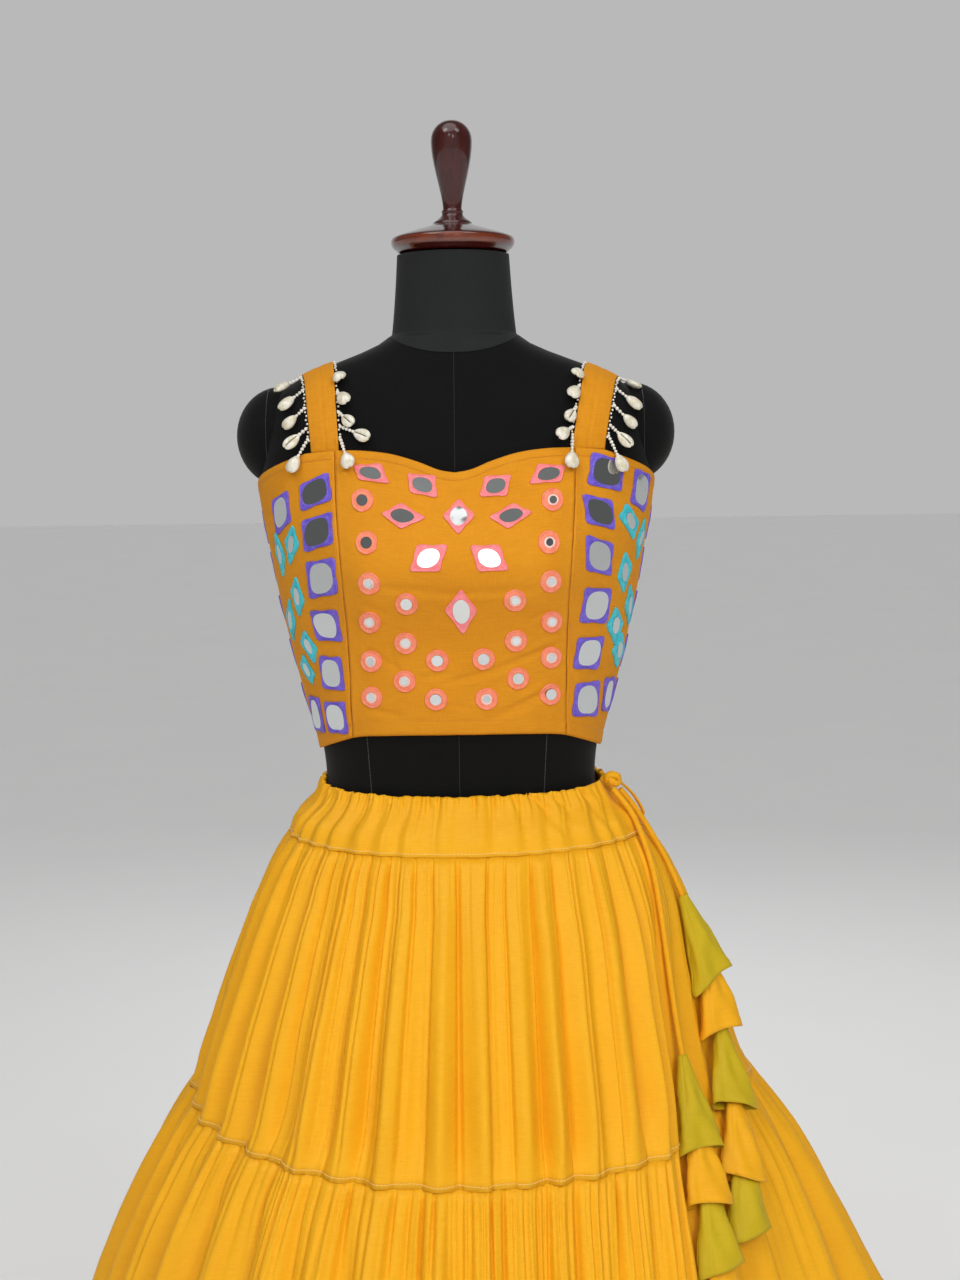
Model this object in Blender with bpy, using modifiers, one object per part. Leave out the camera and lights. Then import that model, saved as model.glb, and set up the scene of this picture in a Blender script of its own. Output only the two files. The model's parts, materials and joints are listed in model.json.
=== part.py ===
"""Lehenga choli on a limbless dress form, at real size.

Metres, +Z up. The origin is on the floor under the stand's base. The garment's front faces -Y.
The choli's panels are drawn flat, as distance along the body from the centre front and height above
the floor, and laid on the form. The lehenga is a gathered waistband over four gathered tiers.
"""

import math

import bmesh
import bpy
import numpy as np
from mathutils import Vector
from mathutils.geometry import delaunay_2d_cdt

COLLECTION = "lehenga_choli"

# Cloth and gaps
SEAM_GAP = 0.0003
CHOLI_EASE = 0.0026
CHOLI_WALL = 0.0018
STRAP_EASE = 0.0022
STRAP_WALL = 0.0020
SKIRT_WALL = 0.0022
LATKAN_WALL = 0.0012

# Dress form: height, half width, front depth, back depth
TORSO_ROWS = (
    (0.8600, 0.158, 0.112, 0.116),
    (0.9000, 0.160, 0.114, 0.120),
    (0.9500, 0.148, 0.106, 0.112),
    (1.0000, 0.130, 0.098, 0.099),
    (1.0400, 0.1245, 0.0950, 0.0920),
    (1.0850, 0.1275, 0.0990, 0.0930),
    (1.1300, 0.1385, 0.1050, 0.0970),
    (1.1800, 0.1505, 0.1100, 0.1010),
    (1.2200, 0.1590, 0.1140, 0.1040),
    (1.2600, 0.1660, 0.1160, 0.1060),
    (1.3000, 0.1735, 0.1140, 0.1080),
    (1.3400, 0.1780, 0.1060, 0.1070),
    (1.3700, 0.1770, 0.0960, 0.1030),
    (1.3950, 0.1680, 0.0850, 0.0960),
    (1.4120, 0.1500, 0.0760, 0.0880),
    (1.4260, 0.1220, 0.0690, 0.0790),
    (1.4370, 0.0920, 0.0640, 0.0710),
    (1.4470, 0.0690, 0.0600, 0.0640),
    (1.4540, 0.0590, 0.0560, 0.0580),
)
TORSO_SIDES = 32
TORSO_RINGS = (0.860, 0.890, 0.950, 0.995, 1.040, 1.085, 1.125, 1.160, 1.195, 1.220, 1.245, 1.270, 1.300,
               1.330, 1.355, 1.378, 1.397, 1.412, 1.423, 1.432, 1.440, 1.448, 1.454)
SQUARENESS = 2.2
BUST_HEIGHT = 1.250
BUST_RISE = 0.020
CLOTH_BUST_RISE = 0.022
BUST_APART = 0.076
BUST_SPREAD = 0.042
BUST_TALL = 0.046
ARM_CAP_CENTRE = (0.160, 0.004, 1.366)
ARM_CAP_RADII = (0.040, 0.048, 0.045)

NECK_RINGS = ((1.4543, 0.0580, 0.0555), (1.4700, 0.0548, 0.0535), (1.4950, 0.0525, 0.0515), (1.5264, 0.0502, 0.0500))
NECK_SIDES = 24
# Turned cap, top to bottom: radius, height
CAP_PROFILE = (
    (0.0000, 1.6455), (0.0070, 1.6448), (0.0135, 1.6410), (0.0180, 1.6340), (0.0190, 1.6270), (0.0178, 1.6130),
    (0.0140, 1.5960), (0.0098, 1.5790), (0.0081, 1.5655), (0.0092, 1.5570), (0.0155, 1.5530), (0.0160, 1.5490),
    (0.0350, 1.5465), (0.0535, 1.5425), (0.0560, 1.5390), (0.0558, 1.5345), (0.0515, 1.5300), (0.0500, 1.5267),
    (0.0000, 1.5267),
)
CAP_STEPS = 18
POLE_RADIUS = 0.0160
BASE_RADIUS = 0.1900
BASE_THICKNESS = 0.0160

# Choli, drawn flat: distance along the body from the centre front, and height
PRINCESS_ROWS = ((1.078, 0.0990), (1.200, 0.0985), (1.270, 0.1040), (1.3530, 0.1050))
NECKLINE_ROWS = ((0.000, 1.3330), (0.012, 1.3350), (0.030, 1.3420), (0.053, 1.3490), (0.080, 1.3525), (0.105, 1.3530))
HEM_ROWS = ((0.000, 1.1055), (0.060, 1.1040), (0.095, 1.1005), (0.120, 1.0930), (0.160, 1.0820), (0.240, 1.0790),
            (0.400, 1.0780))
SIDE_TOP_HEIGHT = 1.3140
STRAP_SEAT_HEIGHT = 1.3505
STRAP_SEAT_END = 0.1340
BACK_TOP_HEIGHT = 1.3250
SIDE_SEAM_ANGLE = math.radians(101)
PANEL_STEP = 0.020
BACK_STEP = 0.026
FRAME_RISE = 0.0013
FRAME_SLOPE = 0.0012
# Triangulation: keep what the loops enclose, and join points closer than this
ENCLOSED = 1
MERGE = 1e-7

# Mirror patches of the centre front: across, height, width, tall, lean
CENTRE_DIAMONDS = (
    (0.0000, 1.2970, 0.029, 0.035, 0.000),
    (0.0000, 1.2170, 0.031, 0.043, 0.000),
    (0.0255, 1.2610, 0.036, 0.027, 0.009),
    (0.0460, 1.2975, 0.041, 0.025, 0.003),
    (0.0320, 1.3215, 0.030, 0.023, 0.008),
    (0.0765, 1.3310, 0.035, 0.020, 0.006),
)
CENTRE_DISCS = (
    (0.0800, (1.3080, 1.2745, 1.2400, 1.2045, 1.1700, 1.1375)),
    (0.0480, (1.2235, 1.1880, 1.1535)),
    (0.0215, (1.1725, 1.1370)),
)
DISC_WIDTH = 0.0200
DISC_CORNERS = 6
# Mirror patches of a side front: share of the way from the princess seam to the side seam, heights
SQUARE_COLUMNS = (
    ("front", (1.3230, 1.2850, 1.2470, 1.2080, 1.1680, 1.1270)),
    ("middle", (1.2990, 1.1250)),
    ("rear", (1.2840, 1.2450, 1.2050, 1.1650, 1.1240)),
)
SQUARE_SIZE = (0.0280, 0.0330)
SQUARE_EDGE = 0.0225
LOZENGE_COLUMNS = ((0.385, (1.2760, 1.2310, 1.1860)), (0.605, (1.2550, 1.2100, 1.1650)))
LOZENGE_SIZE = (0.0215, 0.0380)

# Straps: share of the length from the front, inner edge, outer edge
STRAP_ROWS = {
    "left": ((0.00, 0.0995, 0.1245), (0.25, 0.1050, 0.1320), (0.50, 0.1110, 0.1400), (0.75, 0.1040, 0.1310),
             (1.00, 0.0930, 0.1200)),
    "right": ((0.00, 0.1010, 0.1300), (0.25, 0.1130, 0.1415), (0.50, 0.1215, 0.1500), (0.75, 0.1150, 0.1430),
              (1.00, 0.1030, 0.1310)),
}
STRAP_SEAT_FRONT = 1.3536
STRAP_SEAT_BACK = BACK_TOP_HEIGHT + SEAM_GAP
STRAP_STATIONS = 15
FRINGE_STRIP = 0.0016
FRINGE_GAP = 0.0006
DROP_THREAD = 0.0013
SHELL_LENGTH = 0.0170
SHELL_WIDTH = 0.0115
SHELL_THICK = 0.0085
DROP_SIDES = 5
# Cowrie drops in front: across and height of the shell's middle
DROP_ROWS = {
    ("left", "outer"): ((0.1500, 1.4050), (0.1445, 1.3915), (0.1410, 1.3760), (0.1365, 1.3590), (0.1345, 1.3400)),
    ("left", "inner"): ((0.0985, 1.4130), (0.0945, 1.3950), (0.0905, 1.3765), (0.0785, 1.3640), (0.0890, 1.3420)),
    ("right", "inner"): ((0.1065, 1.4130), (0.1025, 1.3975), (0.0990, 1.3785), (0.0905, 1.3620), (0.0970, 1.3400)),
    ("right", "outer"): ((0.1565, 1.4045), (0.1545, 1.3885), (0.1500, 1.3730), (0.1425, 1.3570), (0.1385, 1.3370)),
}
# Share of the strap's length that a drop's thread starts above its shell
DROP_RISE = 0.055
LOWEST_ROOT = 0.080
HIGHEST_ROOT = 0.45
BACK_DROPS = (0.64, 0.82)
BACK_DROP_LENGTH = 0.0220
BACK_DROP_SPREAD = {"inner": 0.0107, "outer": 0.0040}
# How far a shell's middle lies off the form: on the form itself, and on the choli
ON_FORM = 0.0064
ON_CHOLI = 0.0105

# Lehenga
FOLDS = 37
WAIST_TOP = 1.0500
WAIST_SEAM = 1.0030
TIER_SEAMS = (0.7630, 0.5450, 0.3100)
HEM_HEIGHT = 0.0650
# Outline of the lehenga: height, left, right, front, back, depth of the folds
SKIRT_ROWS = (
    (1.0500, 0.1293, 0.1333, 0.1018, 0.0988, 0.0014),
    (1.0360, 0.1350, 0.1420, 0.1100, 0.1060, 0.0022),
    (1.0180, 0.1525, 0.1620, 0.1260, 0.1200, 0.0026),
    (1.0030, 0.1600, 0.1700, 0.1330, 0.1280, 0.0014),
    (0.9850, 0.1715, 0.1835, 0.1460, 0.1420, 0.0030),
    (0.9550, 0.1855, 0.1995, 0.1670, 0.1640, 0.0045),
    (0.8750, 0.2150, 0.2300, 0.2140, 0.2120, 0.0070),
    (0.7630, 0.2560, 0.2700, 0.2680, 0.2640, 0.0090),
    (0.7400, 0.2720, 0.2880, 0.2800, 0.2780, 0.0060),
    (0.7000, 0.2920, 0.3140, 0.3010, 0.3020, 0.0090),
    (0.6300, 0.3220, 0.3480, 0.3290, 0.3340, 0.0120),
    (0.5450, 0.3520, 0.3860, 0.3600, 0.3680, 0.0130),
    (0.5200, 0.3650, 0.4000, 0.3730, 0.3820, 0.0080),
    (0.4700, 0.3830, 0.4190, 0.3920, 0.4020, 0.0120),
    (0.3100, 0.4330, 0.4650, 0.4400, 0.4520, 0.0160),
    (0.2850, 0.4440, 0.4760, 0.4510, 0.4630, 0.0090),
    (0.2350, 0.4590, 0.4900, 0.4660, 0.4770, 0.0140),
    (0.0650, 0.5070, 0.5330, 0.5130, 0.5230, 0.0210),
)
BAND_SHARES = (0.0, 0.30, 0.68, 1.0)
TIER_SHARES = (0.0, 0.11, 0.40, 0.70, 1.0)
LOW_TIER_SHARES = (0.0, 0.12, 0.50, 1.0)
# The lehenga is as square as the form at its waistband, and plainly oval from here down
OVAL_FROM = 0.9600
SQUARE_FROM = 1.0200
FOLD_SEED = 11
FOLD_UNEVEN = 0.30
TIP_FOLD_ANGLE = math.radians(-80)
TIP_FOLD_RISE = 0.0100
# Valley that the drawstring's ends hang in: height, distance to the right, depth
VALLEY_ROWS = (
    (1.0500, 0.1310, 0.0000), (1.0030, 0.1560, 0.0000), (0.9550, 0.1760, 0.0040), (0.8750, 0.1920, 0.0200),
    (0.7630, 0.2080, 0.0300), (0.6300, 0.2240, 0.0380), (0.5450, 0.2330, 0.0380), (0.3100, 0.2750, 0.0260),
    (0.0650, 0.3150, 0.0180),
)
VALLEY_ANGLE = math.radians(70)
VALLEY_FRONT = math.radians(8.5)
VALLEY_REAR = math.radians(20)

# Drawstring: its knot lies on the waistband's top edge with a flat loop beside it
CORD_DIAMETER = 0.0056
CORD_STEP = 0.0155
KNOT_CENTRE = (0.1385, -0.0350, 1.0515)
KNOT_RADII = (0.0098, 0.0085, 0.0078)
LOOP_WAY = ((0.1400, -0.0340, 1.0500), (0.1480, -0.0260, 1.0450), (0.1585, -0.0190, 1.0340), (0.1670, -0.0150, 1.0200),
            (0.1695, -0.0130, 1.0120))
LOOP_HALF_WIDTH = 0.0032
LOOP_HALF_THICKNESS = 0.0013
# The two hanging strands' routes, from the knot down
STRAND_ROUTES = {
    "outer": (
        (0.1457, -0.0340, 1.0414), (0.1570, -0.0319, 1.0272), (0.1682, -0.0305, 1.0102), (0.1795, -0.0317, 0.9908),
        (0.1901, -0.0343, 0.9704), (0.1993, -0.0363, 0.9488), (0.2081, -0.0388, 0.9266), (0.2166, -0.0429, 0.9034),
        (0.2237, -0.0479, 0.8790), (0.2291, -0.0545, 0.8541), (0.2333, -0.0639, 0.8291), (0.2368, -0.0772, 0.8037),
        (0.2396, -0.0948, 0.7789), (0.2418, -0.1151, 0.7554), (0.2431, -0.1347, 0.7330), (0.2433, -0.1504, 0.7105),
        (0.2435, -0.1636, 0.6881), (0.2440, -0.1770, 0.6650),
    ),
    "inner": (
        (0.1388, -0.0410, 1.0429), (0.1477, -0.0453, 1.0324), (0.1558, -0.0502, 1.0210), (0.1617, -0.0553, 1.0078),
        (0.1670, -0.0625, 0.9925), (0.1722, -0.0715, 0.9734), (0.1761, -0.0801, 0.9502), (0.1794, -0.0890, 0.9233),
        (0.1826, -0.0989, 0.8938), (0.1860, -0.1098, 0.8629), (0.1899, -0.1217, 0.8324), (0.1944, -0.1344, 0.8041),
        (0.1988, -0.1477, 0.7781), (0.2024, -0.1612, 0.7546), (0.2053, -0.1741, 0.7333), (0.2079, -0.1863, 0.7124),
        (0.2109, -0.1980, 0.6906), (0.2143, -0.2088, 0.6679), (0.2174, -0.2186, 0.6450), (0.2199, -0.2280, 0.6223),
        (0.2222, -0.2373, 0.5999), (0.2244, -0.2466, 0.5779), (0.2266, -0.2560, 0.5560),
    ),
}
STRAND_SHORT_OF_END = 0.0450
ROUTE_STEPS = 12
# Cloth cones on each strand: way down the strand to the tip, extra length at the left edge, cloth
LATKANS = {
    "outer": ((0.1150, 0.0050, "olive"), (0.1620, 0.0040, "golden"), (0.2310, -0.0020, "olive"),
              (0.2950, -0.0030, "golden"), (0.3430, 0.0060, "olive")),
    "inner": ((0.2460, 0.0040, "olive"), (0.2910, -0.0020, "golden"), (0.3440, 0.0050, "olive"),
              (0.3930, 0.0000, "golden"), (0.4400, 0.0040, "olive")),
}
LATKAN_LENGTH = 0.0820
# Sections of a cone, tip to hem: share of the length, half width, half depth
LATKAN_SECTIONS = ((0.0, 0.0044, 0.0044), (0.30, 0.0100, 0.0056), (0.65, 0.0160, 0.0072), (1.0, 0.0210, 0.0084))
LATKAN_SIDES = 8
LATKAN_FACING = (0.45, -0.80, 0.40)


def material(name, colour, roughness, metallic=0.0):
    """A Principled material with one colour, made once for each name."""
    made = bpy.data.materials.get(name)
    if made:
        return made
    made = bpy.data.materials.new(name)
    made.use_nodes = True
    shader = made.node_tree.nodes["Principled BSDF"]
    shader.inputs["Base Color"].default_value = (*colour, 1.0)
    shader.inputs["Roughness"].default_value = roughness
    shader.inputs["Metallic"].default_value = metallic
    return made


def table_curve(rows, column, at):
    """Smooth curve through one column of a table whose first column rises or falls."""
    table = np.array(rows, float)
    table = table[np.argsort(table[:, 0])]
    key, value = table[:, 0], table[:, column]
    at = np.clip(np.asarray(at, float), key[0], key[-1])
    slope = np.gradient(value, key)
    i = np.clip(np.searchsorted(key, at, side="right") - 1, 0, len(key) - 2)
    span = key[i + 1] - key[i]
    t = (at - key[i]) / span
    return (value[i] * (2 * t**3 - 3 * t**2 + 1) + value[i + 1] * (3 * t**2 - 2 * t**3)
            + span * (slope[i] * (t**3 - 2 * t**2 + t) + slope[i + 1] * (t**3 - t**2)))


def torso_radii(height, ease):
    """Half width, front depth and back depth of the form at a height, let out by the ease."""
    return tuple(table_curve(TORSO_ROWS, column, height) + ease for column in (1, 2, 3))


def bust_rise(across, height, bridged):
    """How far the bust stands out. Cloth is bridged: it runs straight from one side to the other."""
    aside = np.abs(across) - BUST_APART
    if bridged:
        aside = np.maximum(aside, 0)
    rise = CLOTH_BUST_RISE if bridged else BUST_RISE
    return rise * np.exp(-(((height - BUST_HEIGHT) / BUST_TALL) ** 2)) * np.exp(-((aside / BUST_SPREAD) ** 2))


def body_point(angle, height, ease=0.0, bridged=False):
    """Points round the form: the angle runs from the centre front towards +X."""
    half, front, back = torso_radii(height, ease)
    side, ahead = np.sin(angle), np.cos(angle)
    bend = 2 / SQUARENESS
    x = half * np.sign(side) * np.abs(side) ** bend
    rise = bust_rise(x, height, bridged) * np.clip(3 * ahead, 0, 1)
    depth = np.where(ahead >= 0, front, back) * np.abs(ahead) ** bend
    y = np.where(ahead >= 0, -depth - rise, depth)
    return np.stack([x, y, height + 0 * x], axis=-1)


MEASURE_ANGLES = np.linspace(0, math.pi, 361)


def tape(height):
    """Distance along the cloth from the centre front to each of the measure's angles."""
    points = body_point(MEASURE_ANGLES, height, CHOLI_EASE, True)
    steps = np.linalg.norm(np.diff(points, axis=0), axis=1)
    return np.concatenate([[0], np.cumsum(steps)])


def laid(flat, ease):
    """Points of the flat drawing, laid on the form with that ease."""
    made = []
    for across, height in flat:
        angle = np.interp(abs(across), tape(height), MEASURE_ANGLES) * (1 if across >= 0 else -1)
        made.append(body_point(angle, height, ease, True))
    return np.array(made)


def seam_across(height, angle):
    """Distance from the centre front to a seam at that angle."""
    return float(np.interp(angle, MEASURE_ANGLES, tape(height)))


def add_mesh(name, points, faces, paint, collection=None):
    """A mesh object with its faces turned outwards."""
    mesh = bpy.data.meshes.new(name)
    mesh.from_pydata([tuple(p) for p in points], [], faces)
    shape = bmesh.new()
    shape.from_mesh(mesh)
    bmesh.ops.recalc_face_normals(shape, faces=shape.faces)
    shape.to_mesh(mesh)
    shape.free()
    mesh.materials.append(paint)
    made = bpy.data.objects.new(name, mesh)
    (collection or bpy.data.collections[COLLECTION]).objects.link(made)
    return made


def ring_faces(rings, sides, closed=True):
    """Triangles between rings of points that follow each other in one list.

    Both faces of a wall are split along the same diagonals, so a twisted wall keeps its thickness.
    """
    faces = []
    for r in range(rings - 1):
        for s in range(sides if closed else sides - 1):
            a, b = r * sides + s, r * sides + (s + 1) % sides
            faces += [(a, b, b + sides), (a, b + sides, a + sides)]
    return faces


def solid_of_rings(name, rings, paint, collection=None):
    """A closed solid through rings of as many points each, capped at both ends."""
    sides = len(rings[0])
    points = [p for ring in rings for p in ring]
    faces = ring_faces(len(rings), sides)
    faces.append(tuple(range(sides)))
    faces.append(tuple(range(len(points) - sides, len(points))))
    return add_mesh(name, points, faces, paint, collection)


def tube_wall(name, outer, inner, paint):
    """A wall between two stacks of rings, open at both ends."""
    rings, sides = len(outer), len(outer[0])
    points = [p for ring in [*outer, *inner] for p in ring]
    lower = rings * sides
    faces = ring_faces(rings, sides)
    faces += [tuple(lower + i for i in reversed(face)) for face in ring_faces(rings, sides)]
    for start in (0, (rings - 1) * sides):
        for s in range(sides):
            a, b = start + s, start + (s + 1) % sides
            faces.append((a, b, lower + b, lower + a))
    return add_mesh(name, points, faces, paint)


def strip_wall(name, outer, inner, paint):
    """A wall between two grids of points, closed round its four edges."""
    rows, columns = len(outer), len(outer[0])
    points = [p for row in [*outer, *inner] for p in row]
    lower = rows * columns
    faces = ring_faces(rows, columns, closed=False)
    faces += [tuple(lower + i for i in reversed(face)) for face in ring_faces(rows, columns, closed=False)]
    rim = [c for c in range(columns)]
    rim += [r * columns + columns - 1 for r in range(1, rows)]
    rim += [(rows - 1) * columns + c for c in range(columns - 2, -1, -1)]
    rim += [r * columns for r in range(rows - 2, 0, -1)]
    for a, b in zip(rim, rim[1:] + rim[:1]):
        faces.append((a, b, lower + b, lower + a))
    return add_mesh(name, points, faces, paint)


def is_inside(point, loop):
    """Whether a flat point lies inside a closed loop."""
    x, y = point
    crossings = 0
    for (ax, ay), (bx, by) in zip(loop, loop[1:] + loop[:1]):
        if (ay > y) != (by > y) and x < ax + (y - ay) * (bx - ax) / (by - ay):
            crossings += 1
    return crossings % 2 == 1


def away_from(point, loop):
    """Distance from a flat point to a closed loop."""
    p = np.array(point)
    best = math.inf
    for a, b in zip(loop, loop[1:] + loop[:1]):
        a, b = np.array(a), np.array(b)
        t = np.clip((p - a) @ (b - a) / max((b - a) @ (b - a), 1e-12), 0, 1)
        best = min(best, float(np.linalg.norm(p - a - t * (b - a))))
    return best


def shrunk(loop, by):
    """A small loop drawn in towards its middle."""
    middle = np.mean(loop, axis=0)
    return [tuple(middle + (np.array(p) - middle) * (1 - by / np.linalg.norm(np.array(p) - middle))) for p in loop]


def filled(loops, points):
    """Triangles inside the first loop, with every loop's edges kept: (flat points, faces, where each point went)."""
    flat = [p for loop in loops for p in loop] + points
    edges, start = [], 0
    for loop in loops:
        edges += [(start + i, start + (i + 1) % len(loop)) for i in range(len(loop))]
        start += len(loop)
    made, _, faces, came_from, _, _ = delaunay_2d_cdt([Vector(p) for p in flat], edges, [], ENCLOSED, MERGE)
    went_to = {old: new for new, olds in enumerate(came_from) for old in olds}
    return made, [tuple(face) for face in faces], went_to


def panel(name, outline, patches, paint, step=PANEL_STEP):
    """A panel of the choli: a wall on the form, plain inside, with patches raised on its outside."""
    low, high = np.min(outline, axis=0), np.max(outline, axis=0)
    grid = [
        (x, y)
        for x in np.arange(low[0] + step / 2, high[0], step)
        for y in np.arange(low[1] + step / 2, high[1], step)
        if is_inside((x, y), outline) and away_from((x, y), outline) > step / 3
    ]
    near = step / 6
    clear = [p for p in grid if not any(is_inside(p, q) or away_from(p, q) < near for q in patches)]
    tops = [shrunk(patch, FRAME_SLOPE) for patch in patches]
    flat, outer_faces, outer_index = filled([outline, *patches, *tops], clear)
    eases = np.full(len(flat), CHOLI_EASE + CHOLI_WALL)
    first_top = len(outline) + sum(len(p) for p in patches)
    for old in range(first_top, first_top + sum(len(t) for t in tops)):
        eases[outer_index[old]] += FRAME_RISE
    outer = [laid([p], ease)[0] for p, ease in zip(flat, eases)]
    inner_flat, inner_faces, inner_index = filled([outline], grid)
    inner = laid(inner_flat, CHOLI_EASE)
    shift = len(outer)
    faces = outer_faces + [tuple(shift + i for i in reversed(f)) for f in inner_faces]
    count = len(outline)
    for i in range(count):
        j = (i + 1) % count
        faces.append((outer_index[i], outer_index[j], shift + inner_index[j], shift + inner_index[i]))
    return add_mesh(name, [*outer, *inner], faces, paint)


def diamond(across, height, width, tall, lean):
    """A four-cornered patch. It leans: its upper corner moves away from the centre front."""
    side = math.copysign(1, across) if across else 1
    return [(across - width / 2, height), (across - side * lean / 2, height - tall / 2),
            (across + width / 2, height), (across + side * lean / 2, height + tall / 2)]


def disc(across, height):
    """A round patch."""
    turn = 2 * math.pi / DISC_CORNERS
    return [(across + DISC_WIDTH / 2 * math.cos(turn * k), height + DISC_WIDTH / 2 * math.sin(turn * k))
            for k in range(DISC_CORNERS)]


def block(column, height):
    """A four-cornered patch whose upright edges run with its column."""
    width, tall = SQUARE_SIZE
    low, high = height - tall / 2, height + tall / 2
    under, over = square_across(column, low), square_across(column, high)
    return [(under - width / 2, low), (under + width / 2, low), (over + width / 2, high), (over - width / 2, high)]


def princess(height):
    """Distance from the centre front to the princess seam."""
    return float(table_curve(PRINCESS_ROWS, 1, height))


def hem(across):
    """Height of the choli's hem."""
    return float(table_curve(HEM_ROWS, 1, abs(across)))


def neckline(across):
    """Height of the centre front's top edge."""
    return float(table_curve(NECKLINE_ROWS, 1, abs(across)))


def side_seam(height):
    """Distance from the centre front to the side seam."""
    return seam_across(height, SIDE_SEAM_ANGLE)


def centre_back(height):
    """Distance from the centre front to the centre back."""
    return seam_across(height, math.pi)


def steps_between(start, end):
    """Evenly spaced values about a panel step apart."""
    return np.linspace(start, end, max(2, round(abs(end - start) / PANEL_STEP) + 1))


def edge_up(across_at, top, aside):
    """Points up a seam from the hem, moved aside by half the seam's gap."""
    low = hem(across_at(1.09))
    return [(across_at(z) + aside, float(z)) for z in steps_between(low, top)]


def centre_outline():
    """The centre front's outline, anticlockwise."""
    right = edge_up(princess, neckline(0.105), -SEAM_GAP / 2)
    bottom = [(float(s), hem(s)) for s in steps_between(-right[0][0], right[0][0])[1:-1]]
    top = [(float(s), neckline(s)) for s in np.linspace(right[-1][0], -right[-1][0], 15)[1:-1]]
    left = [(-s, z) for s, z in reversed(right)]
    return bottom + right + top + left


def side_outline():
    """The right side front's outline, anticlockwise."""
    inner = edge_up(princess, neckline(0.105), SEAM_GAP / 2)
    outer = edge_up(side_seam, SIDE_TOP_HEIGHT, -SEAM_GAP / 2)
    bottom = [(float(s), hem(s)) for s in steps_between(inner[0][0], outer[0][0])[1:-1]]
    seat = (STRAP_SEAT_END, STRAP_SEAT_HEIGHT)
    top = [(float(s), float(np.interp(s, (seat[0], outer[-1][0]), (seat[1], outer[-1][1]))))
           for s in steps_between(outer[-1][0], seat[0])[1:]]
    return bottom + outer + top + inner[::-1]


def back_outline():
    """The right back's outline, anticlockwise."""
    inner = edge_up(side_seam, SIDE_TOP_HEIGHT, SEAM_GAP / 2)
    outer = edge_up(centre_back, BACK_TOP_HEIGHT, -SEAM_GAP / 2)
    bottom = [(float(s), hem(s)) for s in steps_between(inner[0][0], outer[0][0])[1:-1]]
    turn = inner[-1][0] + 0.045
    top = [(float(s), float(np.interp(s, (inner[-1][0], turn), (SIDE_TOP_HEIGHT, BACK_TOP_HEIGHT))))
           for s in steps_between(outer[-1][0], inner[-1][0])[1:-1]]
    return bottom + outer + top + inner[::-1]


def mirrored(loop):
    """The same flat loop on the other side, still anticlockwise."""
    return [(-s, z) for s, z in reversed(loop)]


def centre_patches():
    """The mirror patches of the centre front, on both sides of the middle."""
    made = []
    for row in CENTRE_DIAMONDS:
        made.append(diamond(*row))
        if row[0]:
            made.append(diamond(-row[0], *row[1:]))
    for across, heights in CENTRE_DISCS:
        for height in heights:
            made += [disc(across, height), disc(-across, height)]
    return made


def square_across(column, height):
    """Where a square patch of that column sits."""
    near, far = princess(height) + SQUARE_EDGE, side_seam(height) - SQUARE_EDGE
    return {"front": near, "middle": (near + far) / 2, "rear": far}[column]


def side_patches():
    """The mirror patches of the right side front."""
    made = []
    for column, heights in SQUARE_COLUMNS:
        made += [block(column, z) for z in heights]
    for share, heights in LOZENGE_COLUMNS:
        for z in heights:
            across = princess(z) + share * (side_seam(z) - princess(z))
            made.append(diamond(across, z, *LOZENGE_SIZE, 0.0))
    return made


def choli_panels(cotton):
    """Every panel of the choli."""
    panel("choli_centre_front", centre_outline(), centre_patches(), cotton)
    side, patches, back = side_outline(), side_patches(), back_outline()
    panel("choli_side_front_right", side, patches, cotton)
    panel("choli_side_front_left", mirrored(side), [mirrored(p) for p in patches], cotton)
    panel("choli_back_right", back, [], cotton, BACK_STEP)
    panel("choli_back_left", mirrored(back), [], cotton, BACK_STEP)


def shoulder_path(across, clearance):
    """The way over the shoulder at one distance from the middle, front to back: points of (y, z)."""
    heights = np.linspace(1.34, TORSO_ROWS[-1][0], 400)
    crest = float(heights[np.searchsorted(-torso_radii(heights, clearance)[0], -across)])
    share = np.sin(np.linspace(0, math.pi / 2, 60))
    sides = []
    for column, seat, sign in ((1, STRAP_SEAT_FRONT, -1), (2, STRAP_SEAT_BACK, 1)):
        z = seat + (crest - seat) * share
        radii = torso_radii(z, clearance)
        y = sign * radii[column] * np.maximum(0, 1 - (across / radii[0]) ** SQUARENESS) ** (1 / SQUARENESS)
        sides.append(np.stack([y, z], axis=1))
    way = np.concatenate([sides[0][:-1], sides[1][::-1]])
    for _ in range(3):
        way[1:-1] = (way[:-2] + 2 * way[1:-1] + way[2:]) / 4
    along = np.concatenate([[0], np.cumsum(np.linalg.norm(np.diff(way, axis=0), axis=1))])
    return along / along[-1], way


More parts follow.
